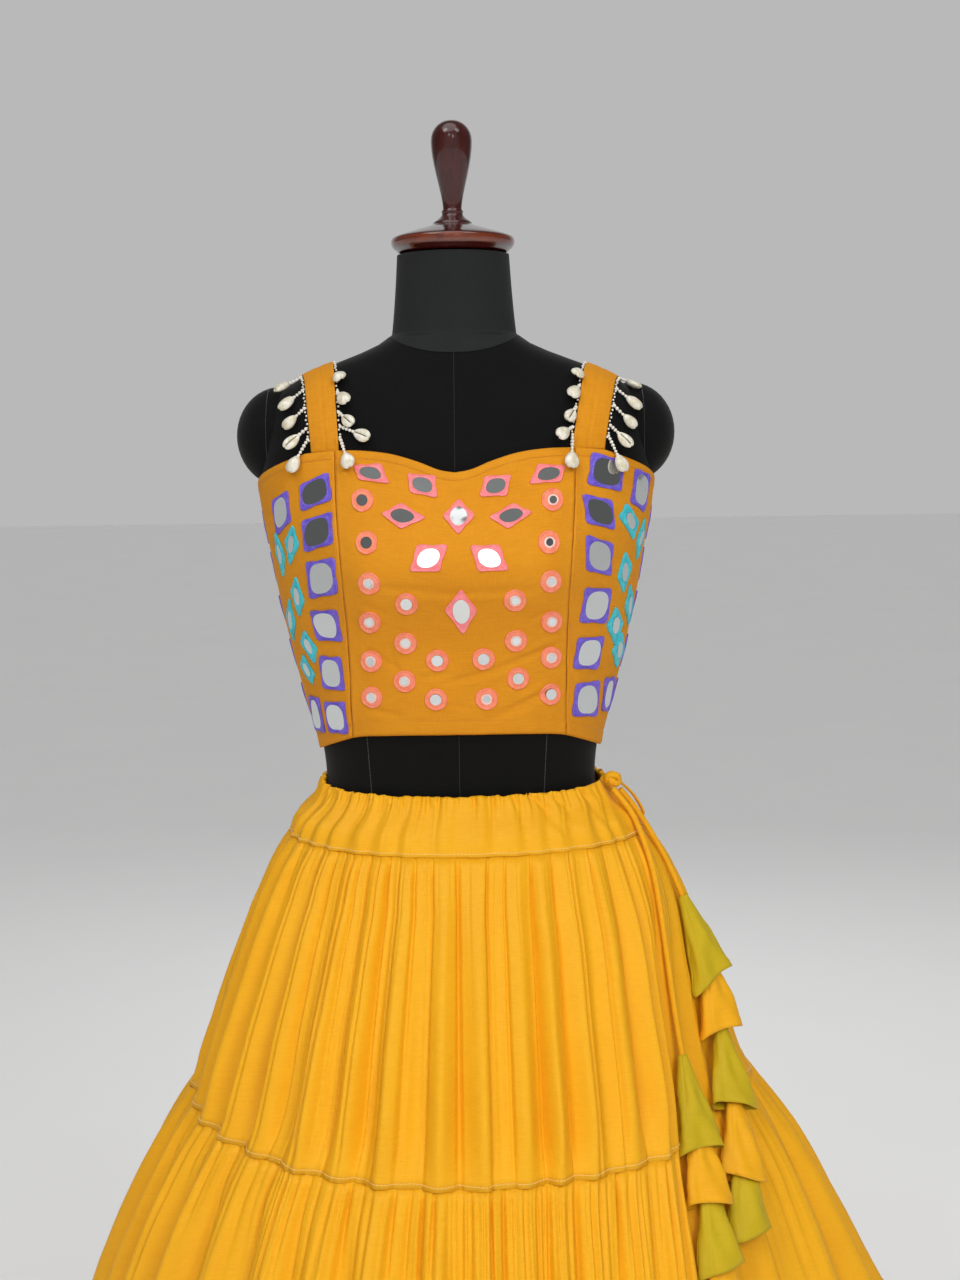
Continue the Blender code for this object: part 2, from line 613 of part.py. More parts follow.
class Strap:
    """The strap on one side: its inner face over the shoulder, and the way out and aside at each station."""

    def __init__(self, side):
        self.side = side
        self.shares = np.linspace(0, 1, STRAP_STATIONS)
        sign = 1 if side == "right" else -1
        self.rails = []
        for edge in (0.0, 0.5, 1.0):
            rail = []
            for share in self.shares:
                ends = [float(table_curve(STRAP_ROWS[side], column, share)) for column in (1, 2)]
                across = ends[0] * (1 - edge) + ends[1] * edge
                at, way = shoulder_path(across, STRAP_EASE)
                y, z = np.interp(share, at, way[:, 0]), np.interp(share, at, way[:, 1])
                rail.append((sign * across, y, z))
            self.rails.append(np.array(rail))
        inner, middle, outer = self.rails
        along = np.gradient(middle, axis=0)
        self.aside = (outer - inner) / np.linalg.norm(outer - inner, axis=1)[:, None]
        out = np.cross(along, self.aside) * -sign
        self.out = out / np.linalg.norm(out, axis=1)[:, None]

    def build(self, cotton):
        """The strap's wall."""
        inner = [[rail[k] for rail in self.rails] for k in range(STRAP_STATIONS)]
        outer = [[p + self.out[k] * STRAP_WALL for p in inner[k]] for k in range(STRAP_STATIONS)]
        strip_wall("strap_" + self.side, outer, inner, cotton)

    def edge_point(self, edge, share, past):
        """A point past one edge of the strap, half a fringe strip up from its inner face."""
        rail, sign = (self.rails[2], 1) if edge == "outer" else (self.rails[0], -1)
        base = rail + sign * past * self.aside + self.out * FRINGE_STRIP / 2
        return np.array([np.interp(share, self.shares, base[:, axis]) for axis in range(3)])

    def fringe(self, edge, ivory, shapes):
        """The strip along one edge with its cowrie drops fused to it."""
        rail, sign = (self.rails[2], 1) if edge == "outer" else (self.rails[0], -1)
        near = rail + sign * FRINGE_GAP * self.aside
        far = rail + sign * (FRINGE_GAP + FRINGE_STRIP) * self.aside
        inner = [[near[k], far[k]] for k in range(1, STRAP_STATIONS - 1)]
        outer = [[p + self.out[k] * FRINGE_STRIP for p in row] for k, row in enumerate(inner, start=1)]
        name = f"cowrie_fringe_{self.side}_{edge}"
        strip = strip_wall(name, outer, inner, ivory)
        drops = bpy.data.collections.new(name + "_drops")
        shapes.children.link(drops)
        past = FRINGE_GAP + FRINGE_STRIP / 2
        for number, (across, height) in enumerate(DROP_ROWS[self.side, edge]):
            middle = resting_place(math.copysign(across, rail[0][0]), height, -1)
            shares = np.linspace(0, HIGHEST_ROOT, 91)
            apart = [np.linalg.norm(self.edge_point(edge, share, past) - middle) for share in shares]
            nearest = float(shares[int(np.argmin(apart))])
            root = self.edge_point(edge, min(HIGHEST_ROOT, max(LOWEST_ROOT, nearest + DROP_RISE)), past)
            drop(f"{name}_drop_{number}", root, middle, ivory, drops)
        for number, share in enumerate(BACK_DROPS):
            root = self.edge_point(edge, share, past)
            spread = BACK_DROP_SPREAD[edge] * sign * math.copysign(1, root[0])
            middle = resting_place(root[0] + spread, root[2] - BACK_DROP_LENGTH, 1)
            drop(f"{name}_back_drop_{number}", root, middle, ivory, drops)
        fuse = strip.modifiers.new("drops", "BOOLEAN")
        fuse.operation = "UNION"
        fuse.operand_type = "COLLECTION"
        fuse.collection = drops
        fuse.solver = "EXACT"


def resting_place(across, height, facing):
    """Where a shell's middle lies: off the form, or off the choli from just above its top edge down.

    Facing is -1 for the front and 1 for the back.
    """
    half, front, back = torso_radii(height, 0.0)
    share = min(0.999, abs(across) / float(half))
    depth = float(front if facing < 0 else back) * (1 - share**SQUARENESS) ** (1 / SQUARENESS)
    point = np.array([across, facing * depth, height])
    on_choli = height < STRAP_SEAT_FRONT + SHELL_LENGTH / 2
    return point + out_of_form(point) * (ON_CHOLI if on_choli else ON_FORM)


def out_of_form(point):
    """The way straight out of the form near a point."""
    def level(at):
        half, front, back = torso_radii(at[2], 0.0)
        depth = front if at[1] < 0 else back
        return float((abs(at[0]) / half) ** SQUARENESS + (abs(at[1]) / depth) ** SQUARENESS)

    away = np.array([level(point + step) - level(point - step) for step in np.eye(3) * 0.0005])
    return away / np.linalg.norm(away)


def drop(name, root, middle, ivory, collection):
    """A thread from the strip and a cowrie shell on its end, in one closed shape."""
    axis = middle - root
    length = float(np.linalg.norm(axis))
    axis = axis / length
    out = out_of_form(middle)
    out = out - axis * (out @ axis)
    out = out / np.linalg.norm(out)
    wide = np.cross(axis, out)
    thread = DROP_THREAD / 2
    half = SHELL_LENGTH / 2
    sections = (
        (-0.0004, thread, thread), (length - half, thread * 1.3, thread * 1.3),
        (length - 0.5 * half, 0.40 * SHELL_WIDTH, 0.42 * SHELL_THICK),
        (length + 0.15 * half, 0.50 * SHELL_WIDTH, 0.50 * SHELL_THICK),
        (length + half, 0.16 * SHELL_WIDTH, 0.20 * SHELL_THICK),
    )
    turn = 2 * math.pi / DROP_SIDES
    rings = []
    for at, width, thick in sections:
        centre = root + axis * at
        rings.append([centre + wide * width * math.cos(turn * k) + out * thick * math.sin(turn * k)
                      for k in range(DROP_SIDES)])
    made = solid_of_rings(name, rings, ivory, collection)
    made.hide_render = True
    made.display_type = "WIRE"
    return made


def skirt_radii(height):
    """Left, right, front and back reach of the lehenga and the depth of its folds at a height."""
    return tuple(float(table_curve(SKIRT_ROWS, column, height)) for column in range(1, 6))


def valley_centre(height):
    """Angle of the valley's middle at a height, and its depth."""
    right = skirt_radii(height)[1]
    reach = float(table_curve(VALLEY_ROWS, 1, height))
    return math.asin(min(0.999, reach / right)), float(table_curve(VALLEY_ROWS, 2, height))


def skirt_angle(angle, height):
    """Where a fold that starts at that angle has got to, and how much it is squeezed there."""
    if angle <= 0:
        return angle, 1.0
    centre, _ = valley_centre(height)
    if angle <= VALLEY_ANGLE:
        return angle * centre / VALLEY_ANGLE, centre / VALLEY_ANGLE
    rest = (math.pi - centre) / (math.pi - VALLEY_ANGLE)
    return centre + (angle - VALLEY_ANGLE) * rest, rest


def valley_share(angle):
    """How deep in the valley a fold's angle lies, from 0 to 1."""
    aside = angle - VALLEY_ANGLE
    width = VALLEY_FRONT if aside < 0 else VALLEY_REAR
    return math.exp(-abs(aside / width) ** 3)


def skirt_point(angle, height, fold=0.0, out=0.0):
    """A point of the lehenga. Fold is from -1, in a trough, to 1, on a ridge; out moves it outwards."""
    left, right, front, back, depth = skirt_radii(height)
    turned, squeeze = skirt_angle(angle, height)
    squared = min(1.0, max(0.0, (height - OVAL_FROM) / (SQUARE_FROM - OVAL_FROM)))
    bend = 1 + squared * (2 / SQUARENESS - 1)
    side = math.copysign(abs(math.sin(turned)) ** bend, math.sin(turned))
    ahead = math.copysign(abs(math.cos(turned)) ** bend, math.cos(turned))
    half = right if side >= 0 else left
    deep = front if ahead >= 0 else back
    away = np.array([side * deep, -ahead * half, 0.0])
    away = away / np.linalg.norm(away)
    share = valley_share(angle)
    sink = share * valley_centre(height)[1]
    wave = fold * depth * min(1.0, squeeze) * (1 - 0.6 * share)
    return np.array([half * side, -deep * ahead, height]) + away * (wave - sink + out)


def fold_angles():
    """The angles of the folds' ridges and troughs, unevenly spaced, from the centre back round."""
    rng = np.random.default_rng(FOLD_SEED)
    widths = 1 + FOLD_UNEVEN * rng.uniform(-1, 1, 2 * FOLDS)
    return -math.pi + np.cumsum(widths) * 2 * math.pi / widths.sum()


def fold_heights(seed):
    """Each column's fold: ridges above 0, troughs below, uneven."""
    rng = np.random.default_rng(seed)
    return np.array([(1 if k % 2 == 0 else -1) * rng.uniform(0.55, 1.25) for k in range(2 * FOLDS)])


def gathered(name, top, bottom, shares, folds_top, folds_bottom, cloth, top_lift=None):
    """A band of gathered cloth from one height down to another."""
    outer, inner = [], []
    for row, share in enumerate(shares):
        height = top + (bottom - top) * share
        folds = folds_top * (1 - share) + folds_bottom * share
        outside, inside = [], []
        for column, angle in enumerate(fold_angles()):
            point = skirt_point(angle, height, folds[column])
            behind = skirt_point(angle, height, folds[column], -SKIRT_WALL)
            lift = top_lift[column] if row == 0 and top_lift is not None else 0.0
            outside.append(point + np.array([0, 0, lift]))
            inside.append(behind + np.array([0, 0, lift]))
        outer.append(outside)
        inner.append(inside)
    return tube_wall(name, outer, inner, cloth)


def lehenga(rayon):
    """The waistband and the four tiers. Each starts with the folds that the one above ends with."""
    angles = fold_angles()
    folds = [fold_heights(FOLD_SEED + k) for k in range(6)]
    away = (angles - TIP_FOLD_ANGLE) / math.radians(4)
    lift = 0.0009 * folds[0] + TIP_FOLD_RISE * np.exp(-(away**2))
    gap = SEAM_GAP / 2
    gathered("waistband", WAIST_TOP, WAIST_SEAM + gap, BAND_SHARES, folds[0], folds[1], rayon, lift)
    edges = [WAIST_SEAM, *TIER_SEAMS, HEM_HEIGHT]
    for k, (top, bottom) in enumerate(zip(edges, edges[1:]), start=1):
        low = HEM_HEIGHT if bottom == HEM_HEIGHT else bottom + gap
        shares = TIER_SHARES if k == 1 else LOW_TIER_SHARES
        gathered(f"tier_{k}", top - gap, low, shares, folds[k], folds[k + 1], rayon)


def way_through(points):
    """A smooth curve through a route's points: (distance along it, points)."""
    ends = np.array(points, float)
    held = np.vstack([2 * ends[0] - ends[1], ends, 2 * ends[-1] - ends[-2]])
    way = []
    for before, here, there, after in zip(held, held[1:], held[2:], held[3:]):
        for t in np.linspace(0, 1, ROUTE_STEPS, endpoint=False):
            way.append(0.5 * (2 * here + (there - before) * t + (2 * before - 5 * here + 4 * there - after) * t**2
                              + (3 * here - before - 3 * there + after) * t**3))
    way = np.array([*way, ends[-1]])
    along = np.concatenate([[0], np.cumsum(np.linalg.norm(np.diff(way, axis=0), axis=1))])
    return along, way


def point_on(along, way, at):
    """The point at a distance along a way."""
    return np.array([np.interp(at, along, way[:, axis]) for axis in range(3)])


def strand(name, route, paint):
    """One end of the drawstring."""
    along, way = way_through(route)
    end = along[-1] - STRAND_SHORT_OF_END
    curve = bpy.data.curves.new(name, "CURVE")
    curve.dimensions = "3D"
    curve.bevel_depth = CORD_DIAMETER / 2
    curve.bevel_resolution = 2
    curve.use_fill_caps = True
    spline = curve.splines.new("POLY")
    count = round(end / CORD_STEP) + 1
    spline.points.add(count - 1)
    for point, at in zip(spline.points, np.linspace(0, end, count)):
        point.co = (*point_on(along, way, at), 1.0)
    curve.materials.append(paint)
    made = bpy.data.objects.new(name, curve)
    bpy.data.collections[COLLECTION].objects.link(made)
    return made


def latkan(name, route, tip, longer_left, cloth):
    """A flattened cloth cone threaded on a strand, open at its tip and its hem."""
    along, way = way_through(route)
    facing = np.array(LATKAN_FACING)
    outer, inner = [], []
    for share, half_width, half_depth in LATKAN_SECTIONS:
        at = tip + share * LATKAN_LENGTH
        centre = point_on(along, way, at)
        down = point_on(along, way, at + 0.01) - point_on(along, way, at - 0.01)
        down = down / np.linalg.norm(down)
        leftwards = np.cross(down, facing)
        leftwards = leftwards / np.linalg.norm(leftwards)
        out = np.cross(leftwards, down)
        for ring, wall in ((outer, 0.0), (inner, LATKAN_WALL)):
            turns = [2 * math.pi * k / LATKAN_SIDES for k in range(LATKAN_SIDES)]
            ring.append([centre + leftwards * (half_width - wall) * math.cos(a) + out * (half_depth - wall) * math.sin(a)
                         + down * longer_left * share * math.cos(a) for a in turns])
    return tube_wall(name, outer, inner, cloth)


def knot(paint):
    """The drawstring's knot with its flat loop."""
    along, way = way_through(LOOP_WAY)
    rings = []
    for at in np.linspace(0, along[-1], 7):
        centre = point_on(along, way, at)
        down = point_on(along, way, at + 0.003) - point_on(along, way, at - 0.003)
        down = down / np.linalg.norm(down)
        wide = np.cross(down, (0.8, 0.2, 0.5))
        wide = wide / np.linalg.norm(wide)
        thick = np.cross(wide, down)
        rings.append([centre + wide * LOOP_HALF_WIDTH * w + thick * LOOP_HALF_THICKNESS * t
                      for w, t in ((-1, -1), (1, -1), (1, 1), (-1, 1))])
    loop = solid_of_rings("drawstring_knot", rings, paint)
    bpy.ops.mesh.primitive_uv_sphere_add(segments=12, ring_count=8, radius=1.0)
    ball = bpy.context.object
    ball.name = "knot_ball"
    ball.scale = KNOT_RADII
    ball.location = KNOT_CENTRE
    fuse_into(loop, ball)


def fuse_into(body, shape):
    """Adds a shape to a body, and keeps the shape itself out of the object."""
    shape.hide_render = True
    shape.display_type = "WIRE"
    bpy.context.collection.objects.unlink(shape)
    bpy.data.collections["joining_shapes"].objects.link(shape)
    join = body.modifiers.new(shape.name, "BOOLEAN")
    join.operation = "UNION"
    join.solver = "EXACT"
    join.object = shape


def drawstring(golden, olive):
    """The knot, the two hanging strands and their cloth cones."""
    knot(golden)
    for side, route in STRAND_ROUTES.items():
        strand(f"drawstring_{side}", route, golden)
        for number, (tip, longer_left, cloth) in enumerate(LATKANS[side], start=1):
            latkan(f"latkan_{side}_{number}", route, tip, longer_left, olive if cloth == "olive" else golden)


def dress_form(jersey, charcoal, mahogany, steel):
    """The limbless form: torso with its arm caps, neck, turned cap, pole and base."""
    angles = np.linspace(0, 2 * math.pi, TORSO_SIDES, endpoint=False) - math.pi
    torso = solid_of_rings("form_torso", [body_point(angles, z) for z in TORSO_RINGS], jersey)
    for side in (-1, 1):
        bpy.ops.mesh.primitive_uv_sphere_add(segments=16, ring_count=9, radius=1.0)
        cap = bpy.context.object
        cap.name = "arm_cap_left" if side < 0 else "arm_cap_right"
        x, y, z = ARM_CAP_CENTRE
        cap.scale = ARM_CAP_RADII
        cap.location = (side * x, y, z)
        fuse_into(torso, cap)
    turns = np.linspace(0, 2 * math.pi, NECK_SIDES, endpoint=False)
    rings = [[(w * math.sin(a), -d * math.cos(a), z) for a in turns] for z, w, d in NECK_RINGS]
    solid_of_rings("form_neck", rings, charcoal)
    turned("form_cap", CAP_PROFILE, CAP_STEPS, mahogany)
    top, foot = TORSO_RINGS[0] - SEAM_GAP, BASE_THICKNESS + SEAM_GAP
    pole_profile = ((0, top), (0.034, top), (0.034, top - 0.008), (POLE_RADIUS, top - 0.008),
                    (POLE_RADIUS, foot + 0.02), (0.030, foot + 0.006), (0.030, foot), (0, foot))
    turned("stand_pole", pole_profile, 16, steel)
    base_profile = ((0, BASE_THICKNESS), (BASE_RADIUS - 0.010, BASE_THICKNESS), (BASE_RADIUS - 0.002, BASE_THICKNESS - 0.004),
                    (BASE_RADIUS, BASE_THICKNESS - 0.009), (BASE_RADIUS, 0), (0, 0))
    turned("stand_base", base_profile, 26, steel)


def turned(name, profile, steps, paint):
    """A turned solid from a profile at +X, top to bottom."""
    points = [(r, 0, z) for r, z in profile]
    mesh = bpy.data.meshes.new(name)
    mesh.from_pydata(points, [(k, k + 1) for k in range(len(points) - 1)], [])
    mesh.materials.append(paint)
    made = bpy.data.objects.new(name, mesh)
    bpy.data.collections[COLLECTION].objects.link(made)
    screw = made.modifiers.new("turn", "SCREW")
    screw.steps = steps
    screw.render_steps = steps
    screw.use_merge_vertices = True
    screw.merge_threshold = 0.00005
    return made


def main():
    """Clears the scene and builds every piece."""
    for old in list(bpy.data.objects):
        bpy.data.objects.remove(old)
    parts = bpy.data.collections.new(COLLECTION)
    shapes = bpy.data.collections.new("joining_shapes")
    for made in (parts, shapes):
        bpy.context.scene.collection.children.link(made)
    cotton = material("mustard_cotton", (0.77, 0.31, 0.02), 0.85)
    rayon = material("golden_rayon", (0.89, 0.44, 0.02), 0.6)
    ivory = material("cowrie_shell", (0.79, 0.72, 0.59), 0.4)
    jersey = material("black_jersey", (0.009, 0.009, 0.009), 0.8)
    charcoal = material("charcoal_jersey", (0.028, 0.03, 0.031), 0.85)
    mahogany = material("lacquered_mahogany", (0.06, 0.01, 0.006), 0.15)
    steel = material("black_steel", (0.015, 0.015, 0.015), 0.4, 1.0)
    dress_form(jersey, charcoal, mahogany, steel)
    choli_panels(cotton)
    for side in ("left", "right"):
        strap = Strap(side)
        strap.build(cotton)
        for edge in ("inner", "outer"):
            strap.fringe(edge, ivory, shapes)
    lehenga(rayon)
    drawstring(rayon, material("olive_cloth", (0.53, 0.38, 0.01), 0.7))


main()
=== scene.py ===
"""The dressed scene of a lehenga choli on its limbless dress form.

Every piece lies where its CAD node lies. Lengths are metres, +Z is up, the front faces -Y, and the
drawstring's ends hang on the +X side. Flat cloth is measured as distance across from the centre
front and height above the floor.
"""

import json
import logging
import math
from dataclasses import dataclass, replace
from enum import Enum
from functools import cached_property, partial
from typing import Callable, Optional, Sequence

import bmesh
import bpy
import numpy as np
from mathutils import Matrix, Vector

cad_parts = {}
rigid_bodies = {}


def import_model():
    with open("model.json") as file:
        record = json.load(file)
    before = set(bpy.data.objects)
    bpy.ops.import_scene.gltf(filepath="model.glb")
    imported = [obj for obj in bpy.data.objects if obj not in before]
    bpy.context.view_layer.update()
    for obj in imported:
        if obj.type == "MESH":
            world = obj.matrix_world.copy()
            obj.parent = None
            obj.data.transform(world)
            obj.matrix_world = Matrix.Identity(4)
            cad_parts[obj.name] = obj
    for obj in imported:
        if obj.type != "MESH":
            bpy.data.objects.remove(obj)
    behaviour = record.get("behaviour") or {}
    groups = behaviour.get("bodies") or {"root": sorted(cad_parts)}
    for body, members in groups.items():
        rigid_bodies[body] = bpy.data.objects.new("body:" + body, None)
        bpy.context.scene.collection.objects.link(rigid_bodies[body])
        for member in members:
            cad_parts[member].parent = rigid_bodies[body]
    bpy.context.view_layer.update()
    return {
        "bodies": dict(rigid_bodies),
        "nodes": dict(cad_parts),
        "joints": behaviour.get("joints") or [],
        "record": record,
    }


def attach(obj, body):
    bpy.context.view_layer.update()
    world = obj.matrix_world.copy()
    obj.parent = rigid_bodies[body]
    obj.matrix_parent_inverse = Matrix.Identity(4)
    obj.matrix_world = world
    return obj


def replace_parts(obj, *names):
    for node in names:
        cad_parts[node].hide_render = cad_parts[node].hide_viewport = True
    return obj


LOG = logging.getLogger("lehenga_choli")
Array = np.ndarray
Place = Callable[[Array, Array], Array]
Curve = Callable[[Array], Array]
Point = tuple[float, float, float]
Rows = tuple[tuple[float, ...], ...]
Tree = bpy.types.NodeTree
Node = bpy.types.Node
Socket = bpy.types.NodeSocket
Piece = bpy.types.Object
Sockets = dict[str | int, Socket | float | Sequence[float]]
BODY = "root"


# Numbers


def table_curve(rows: Sequence[Sequence[float]], column: int, at: Array) -> Array:
    """Reads a smooth curve through one column of a table.

    Args:
        rows: the table, whose first column rises or falls.
        column: which column to read.
        at: where in the first column.

    Returns:
        The column's values there.
    """
    table = np.array(rows, float)
    table = table[np.argsort(table[:, 0])]
    key, value = table[:, 0], table[:, column]
    at = np.clip(np.asarray(at, float), key[0], key[-1])
    slope = np.gradient(value, key)
    i = np.clip(np.searchsorted(key, at, side="right") - 1, 0, len(key) - 2)
    span = key[i + 1] - key[i]
    t = (at - key[i]) / span
    return (value[i] * (2 * t**3 - 3 * t**2 + 1) + value[i + 1] * (3 * t**2 - 2 * t**3)
            + span * (slope[i] * (t**3 - 2 * t**2 + t) + slope[i + 1] * (t**3 - t**2)))


def signed_power(value: Array, power: Array | float) -> Array:
    """Raises the size of a value to a power and keeps its sign."""
    return np.sign(value) * np.abs(value) ** power


def unit(vectors: Array) -> Array:
    """Scales vectors to length 1."""
    vectors = np.asarray(vectors, float)
    return vectors / np.maximum(np.linalg.norm(vectors, axis=-1, keepdims=True), 1e-12)


def softened(value: Array, low: float, high: float) -> Array:
    """Rises smoothly from 0 at low to 1 at high."""
    t = np.clip((np.asarray(value, float) - low) / (high - low), 0, 1)
    return t * t * (3 - 2 * t)


def bell(off: Array, width: float) -> Array:
    """A smooth bump: 1 where off is 0, and nearly 0 two widths away."""
    return np.exp(-((off / width) ** 2))


def tape(way: Array) -> Array:
    """Distance along a way at each of its points."""
    return np.concatenate([[0], np.cumsum(np.linalg.norm(np.diff(way, axis=0), axis=1))])


def points_at(at: Array | float, along: Array, way: Array) -> Array:
    """Points of a way at distances along it."""
    return np.stack([np.interp(at, along, way[:, axis]) for axis in range(3)], axis=-1)


def beside_line(across: Array, height: Array, ends: Sequence[float]) -> tuple[Array, Array]:
    """Where flat points lie beside a line.

    Args:
        across: of the points.
        height: of the points.
        ends: across and height of the line's start and of its end.

    Returns:
        The share along the line and the distance from it.
    """
    start, end = np.array(ends[:2]), np.array(ends[2:])
    way = end - start
    share = np.clip(((across - start[0]) * way[0] + (height - start[1]) * way[1]) / (way @ way), 0, 1)
    return share, np.hypot(across - start[0] - share * way[0], height - start[1] - share * way[1])


def ripple(at: Array, pitch: float, seed: int) -> Array:
    """A smooth uneven wave from -1 to 1 with about that pitch."""
    knots = np.random.default_rng(seed).uniform(-1, 1, 4096)
    x = np.asarray(at, float) / pitch + 1024
    i = np.floor(x).astype(int) % 4095
    t = x - np.floor(x)
    t = t * t * (3 - 2 * t)
    return knots[i] * (1 - t) + knots[i + 1] * t


# Surfaces


@dataclass(frozen=True)
class Ridge:
    """A line that stands out of the cloth, or with a rise under 0 is pressed in: rise, middle and width."""

    rise: float
    middle: float
    width: float

    def at(self, off: Array) -> Array:
        """How far out the cloth is at a distance from the edge or seam that the line lies beside."""
        return self.rise * bell(off - self.middle, self.width)


@dataclass(frozen=True)
class Waver:
    """Soft unevenness of the cloth: rise, how far it runs aslant, pitch and seed."""

    rise: float
    slant: float
    pitch: float
    seed: int

    def at(self, along: Array, aside: Array) -> Array:
        """How far out the cloth is, by the distance along the waves' way and aside from it."""
        return self.rise * ripple(along + self.slant * aside, self.pitch, self.seed)


@dataclass(frozen=True)
class Body:
    """The dress form's surface, and the choli's flat cloth laid round it."""

    # Height, half width, front depth, back depth
    rows: Rows = (
        (0.86, 0.158, 0.112, 0.116), (0.9, 0.16, 0.114, 0.12), (0.95, 0.148, 0.106, 0.112),
        (1.0, 0.13, 0.098, 0.099), (1.04, 0.1245, 0.095, 0.092), (1.085, 0.1275, 0.099, 0.093),
        (1.13, 0.1385, 0.105, 0.097), (1.18, 0.1505, 0.11, 0.101), (1.22, 0.159, 0.114, 0.104),
        (1.26, 0.166, 0.116, 0.106), (1.3, 0.1735, 0.114, 0.108), (1.34, 0.178, 0.106, 0.107),
        (1.37, 0.177, 0.096, 0.103), (1.395, 0.168, 0.085, 0.096), (1.412, 0.15, 0.076, 0.088),
        (1.426, 0.122, 0.069, 0.079), (1.437, 0.092, 0.064, 0.071), (1.447, 0.069, 0.06, 0.064),
        (1.454, 0.059, 0.056, 0.058),
    )
    # Power of its outline, where 2 is an oval
    squareness: float = 2.2
    # The bust: height, rise of the form and of the cloth, half its distance apart, and its spread each way
    bust_height: float = 1.25
    bust_rise: float = 0.02
    cloth_bust_rise: float = 0.022
    bust_apart: float = 0.076
    bust_spread: float = 0.042
    bust_tall: float = 0.046
    # How far the cloth's inner face is off the form, and its outer face off that
    ease: float = 0.0026
    wall: float = 0.0018

    def radii(self, height: Array, ease: float | Array) -> list[Array]:
        """Half width, front depth and back depth at a height, let out by the ease."""
        return [table_curve(self.rows, column, height) + ease for column in (1, 2, 3)]

    def point(self, angle: Array, height: Array, ease: float | Array = 0.0,
              bridged: bool = False) -> Array:
        """Finds points round the form.

        Args:
            angle: from the centre front towards +X.
            height: above the floor.
            ease: how far outside the form.
            bridged: whether the surface runs straight across the bust as cloth does.

        Returns:
            The points, one row each.
        """
        half, front, back = self.radii(height, ease)
        side, ahead = np.sin(angle), np.cos(angle)
        bend = 2 / self.squareness
        x = half * signed_power(side, bend)
        aside = np.abs(x) - self.bust_apart
        aside = np.maximum(aside, 0) if bridged else aside
        rise = self.cloth_bust_rise if bridged else self.bust_rise
        rise = rise * bell(height - self.bust_height, self.bust_tall)
        rise = rise * bell(aside, self.bust_spread) * np.clip(3 * ahead, 0, 1)
        depth = np.where(ahead >= 0, front, back) * np.abs(ahead) ** bend
        y = np.where(ahead >= 0, -depth - rise, depth)
        return np.stack([x, y, height + 0 * x], axis=-1)

    @cached_property
    def measure(self) -> tuple[Array, Array, Array]:
        """Heights, distances across, and the angle that each pair of them lies at."""
        heights, across = np.linspace(1.06, 1.37, 125), np.linspace(0, 0.5, 1001)
        turns = np.linspace(0, math.pi, 361)
        found = []
        for height in heights:
            points = self.point(turns, np.full(361, height), self.ease, True)
            found.append(np.interp(across, tape(points), turns))
        return heights, across, np.array(found)

    def angle_of(self, across: Array, height: Array) -> Array:
        """The angle that a distance along the cloth from the centre front lies at."""
        heights, table_across, angles = self.measure
        row = np.clip((height - heights[0]) / (heights[1] - heights[0]), 0, len(heights) - 1.001)
        column = np.clip(np.abs(across) / table_across[1], 0, len(table_across) - 1.001)
        i, j = row.astype(int), column.astype(int)
        s, t = row - i, column - j
        angle = ((angles[i, j] * (1 - t) + angles[i, j + 1] * t) * (1 - s)
                 + (angles[i + 1, j] * (1 - t) + angles[i + 1, j + 1] * t) * s)
        return np.where(np.asarray(across) >= 0, angle, -angle)

    def seam_across(self, height: Array, angle: float) -> Array:
        """Distance along the cloth from the centre front to an upright seam at that angle."""
        heights, across, angles = self.measure
        reach = np.array([np.interp(angle, row, across) for row in angles])
        return np.interp(height, heights, reach)

    def laid(self, across: Array, height: Array, out: Array | float = 0.0) -> Array:
        """Lays the flat cloth on the form.

        Args:
            across: distance along the cloth from the centre front.
            height: above the floor.
            out: how far outside the cloth's inner face.

        Returns:
            The points, one row each.
        """
        across, height = np.broadcast_arrays(np.asarray(across, float), np.asarray(height, float))
        return self.point(self.angle_of(across, height), height, self.ease + out, True)

    def outwards(self, point: Array) -> Array:
        """The way straight out of the form near a point."""
        def level(at: Array) -> float:
            """1 on the form's outline, and more outside it."""
            half, front, back = self.radii(at[2], 0.0)
            depth = front if at[1] < 0 else back
            return float((abs(at[0]) / half) ** self.squareness + (abs(at[1]) / depth) ** self.squareness)

        return unit([level(point + step) - level(point - step) for step in np.eye(3) * 0.0005])


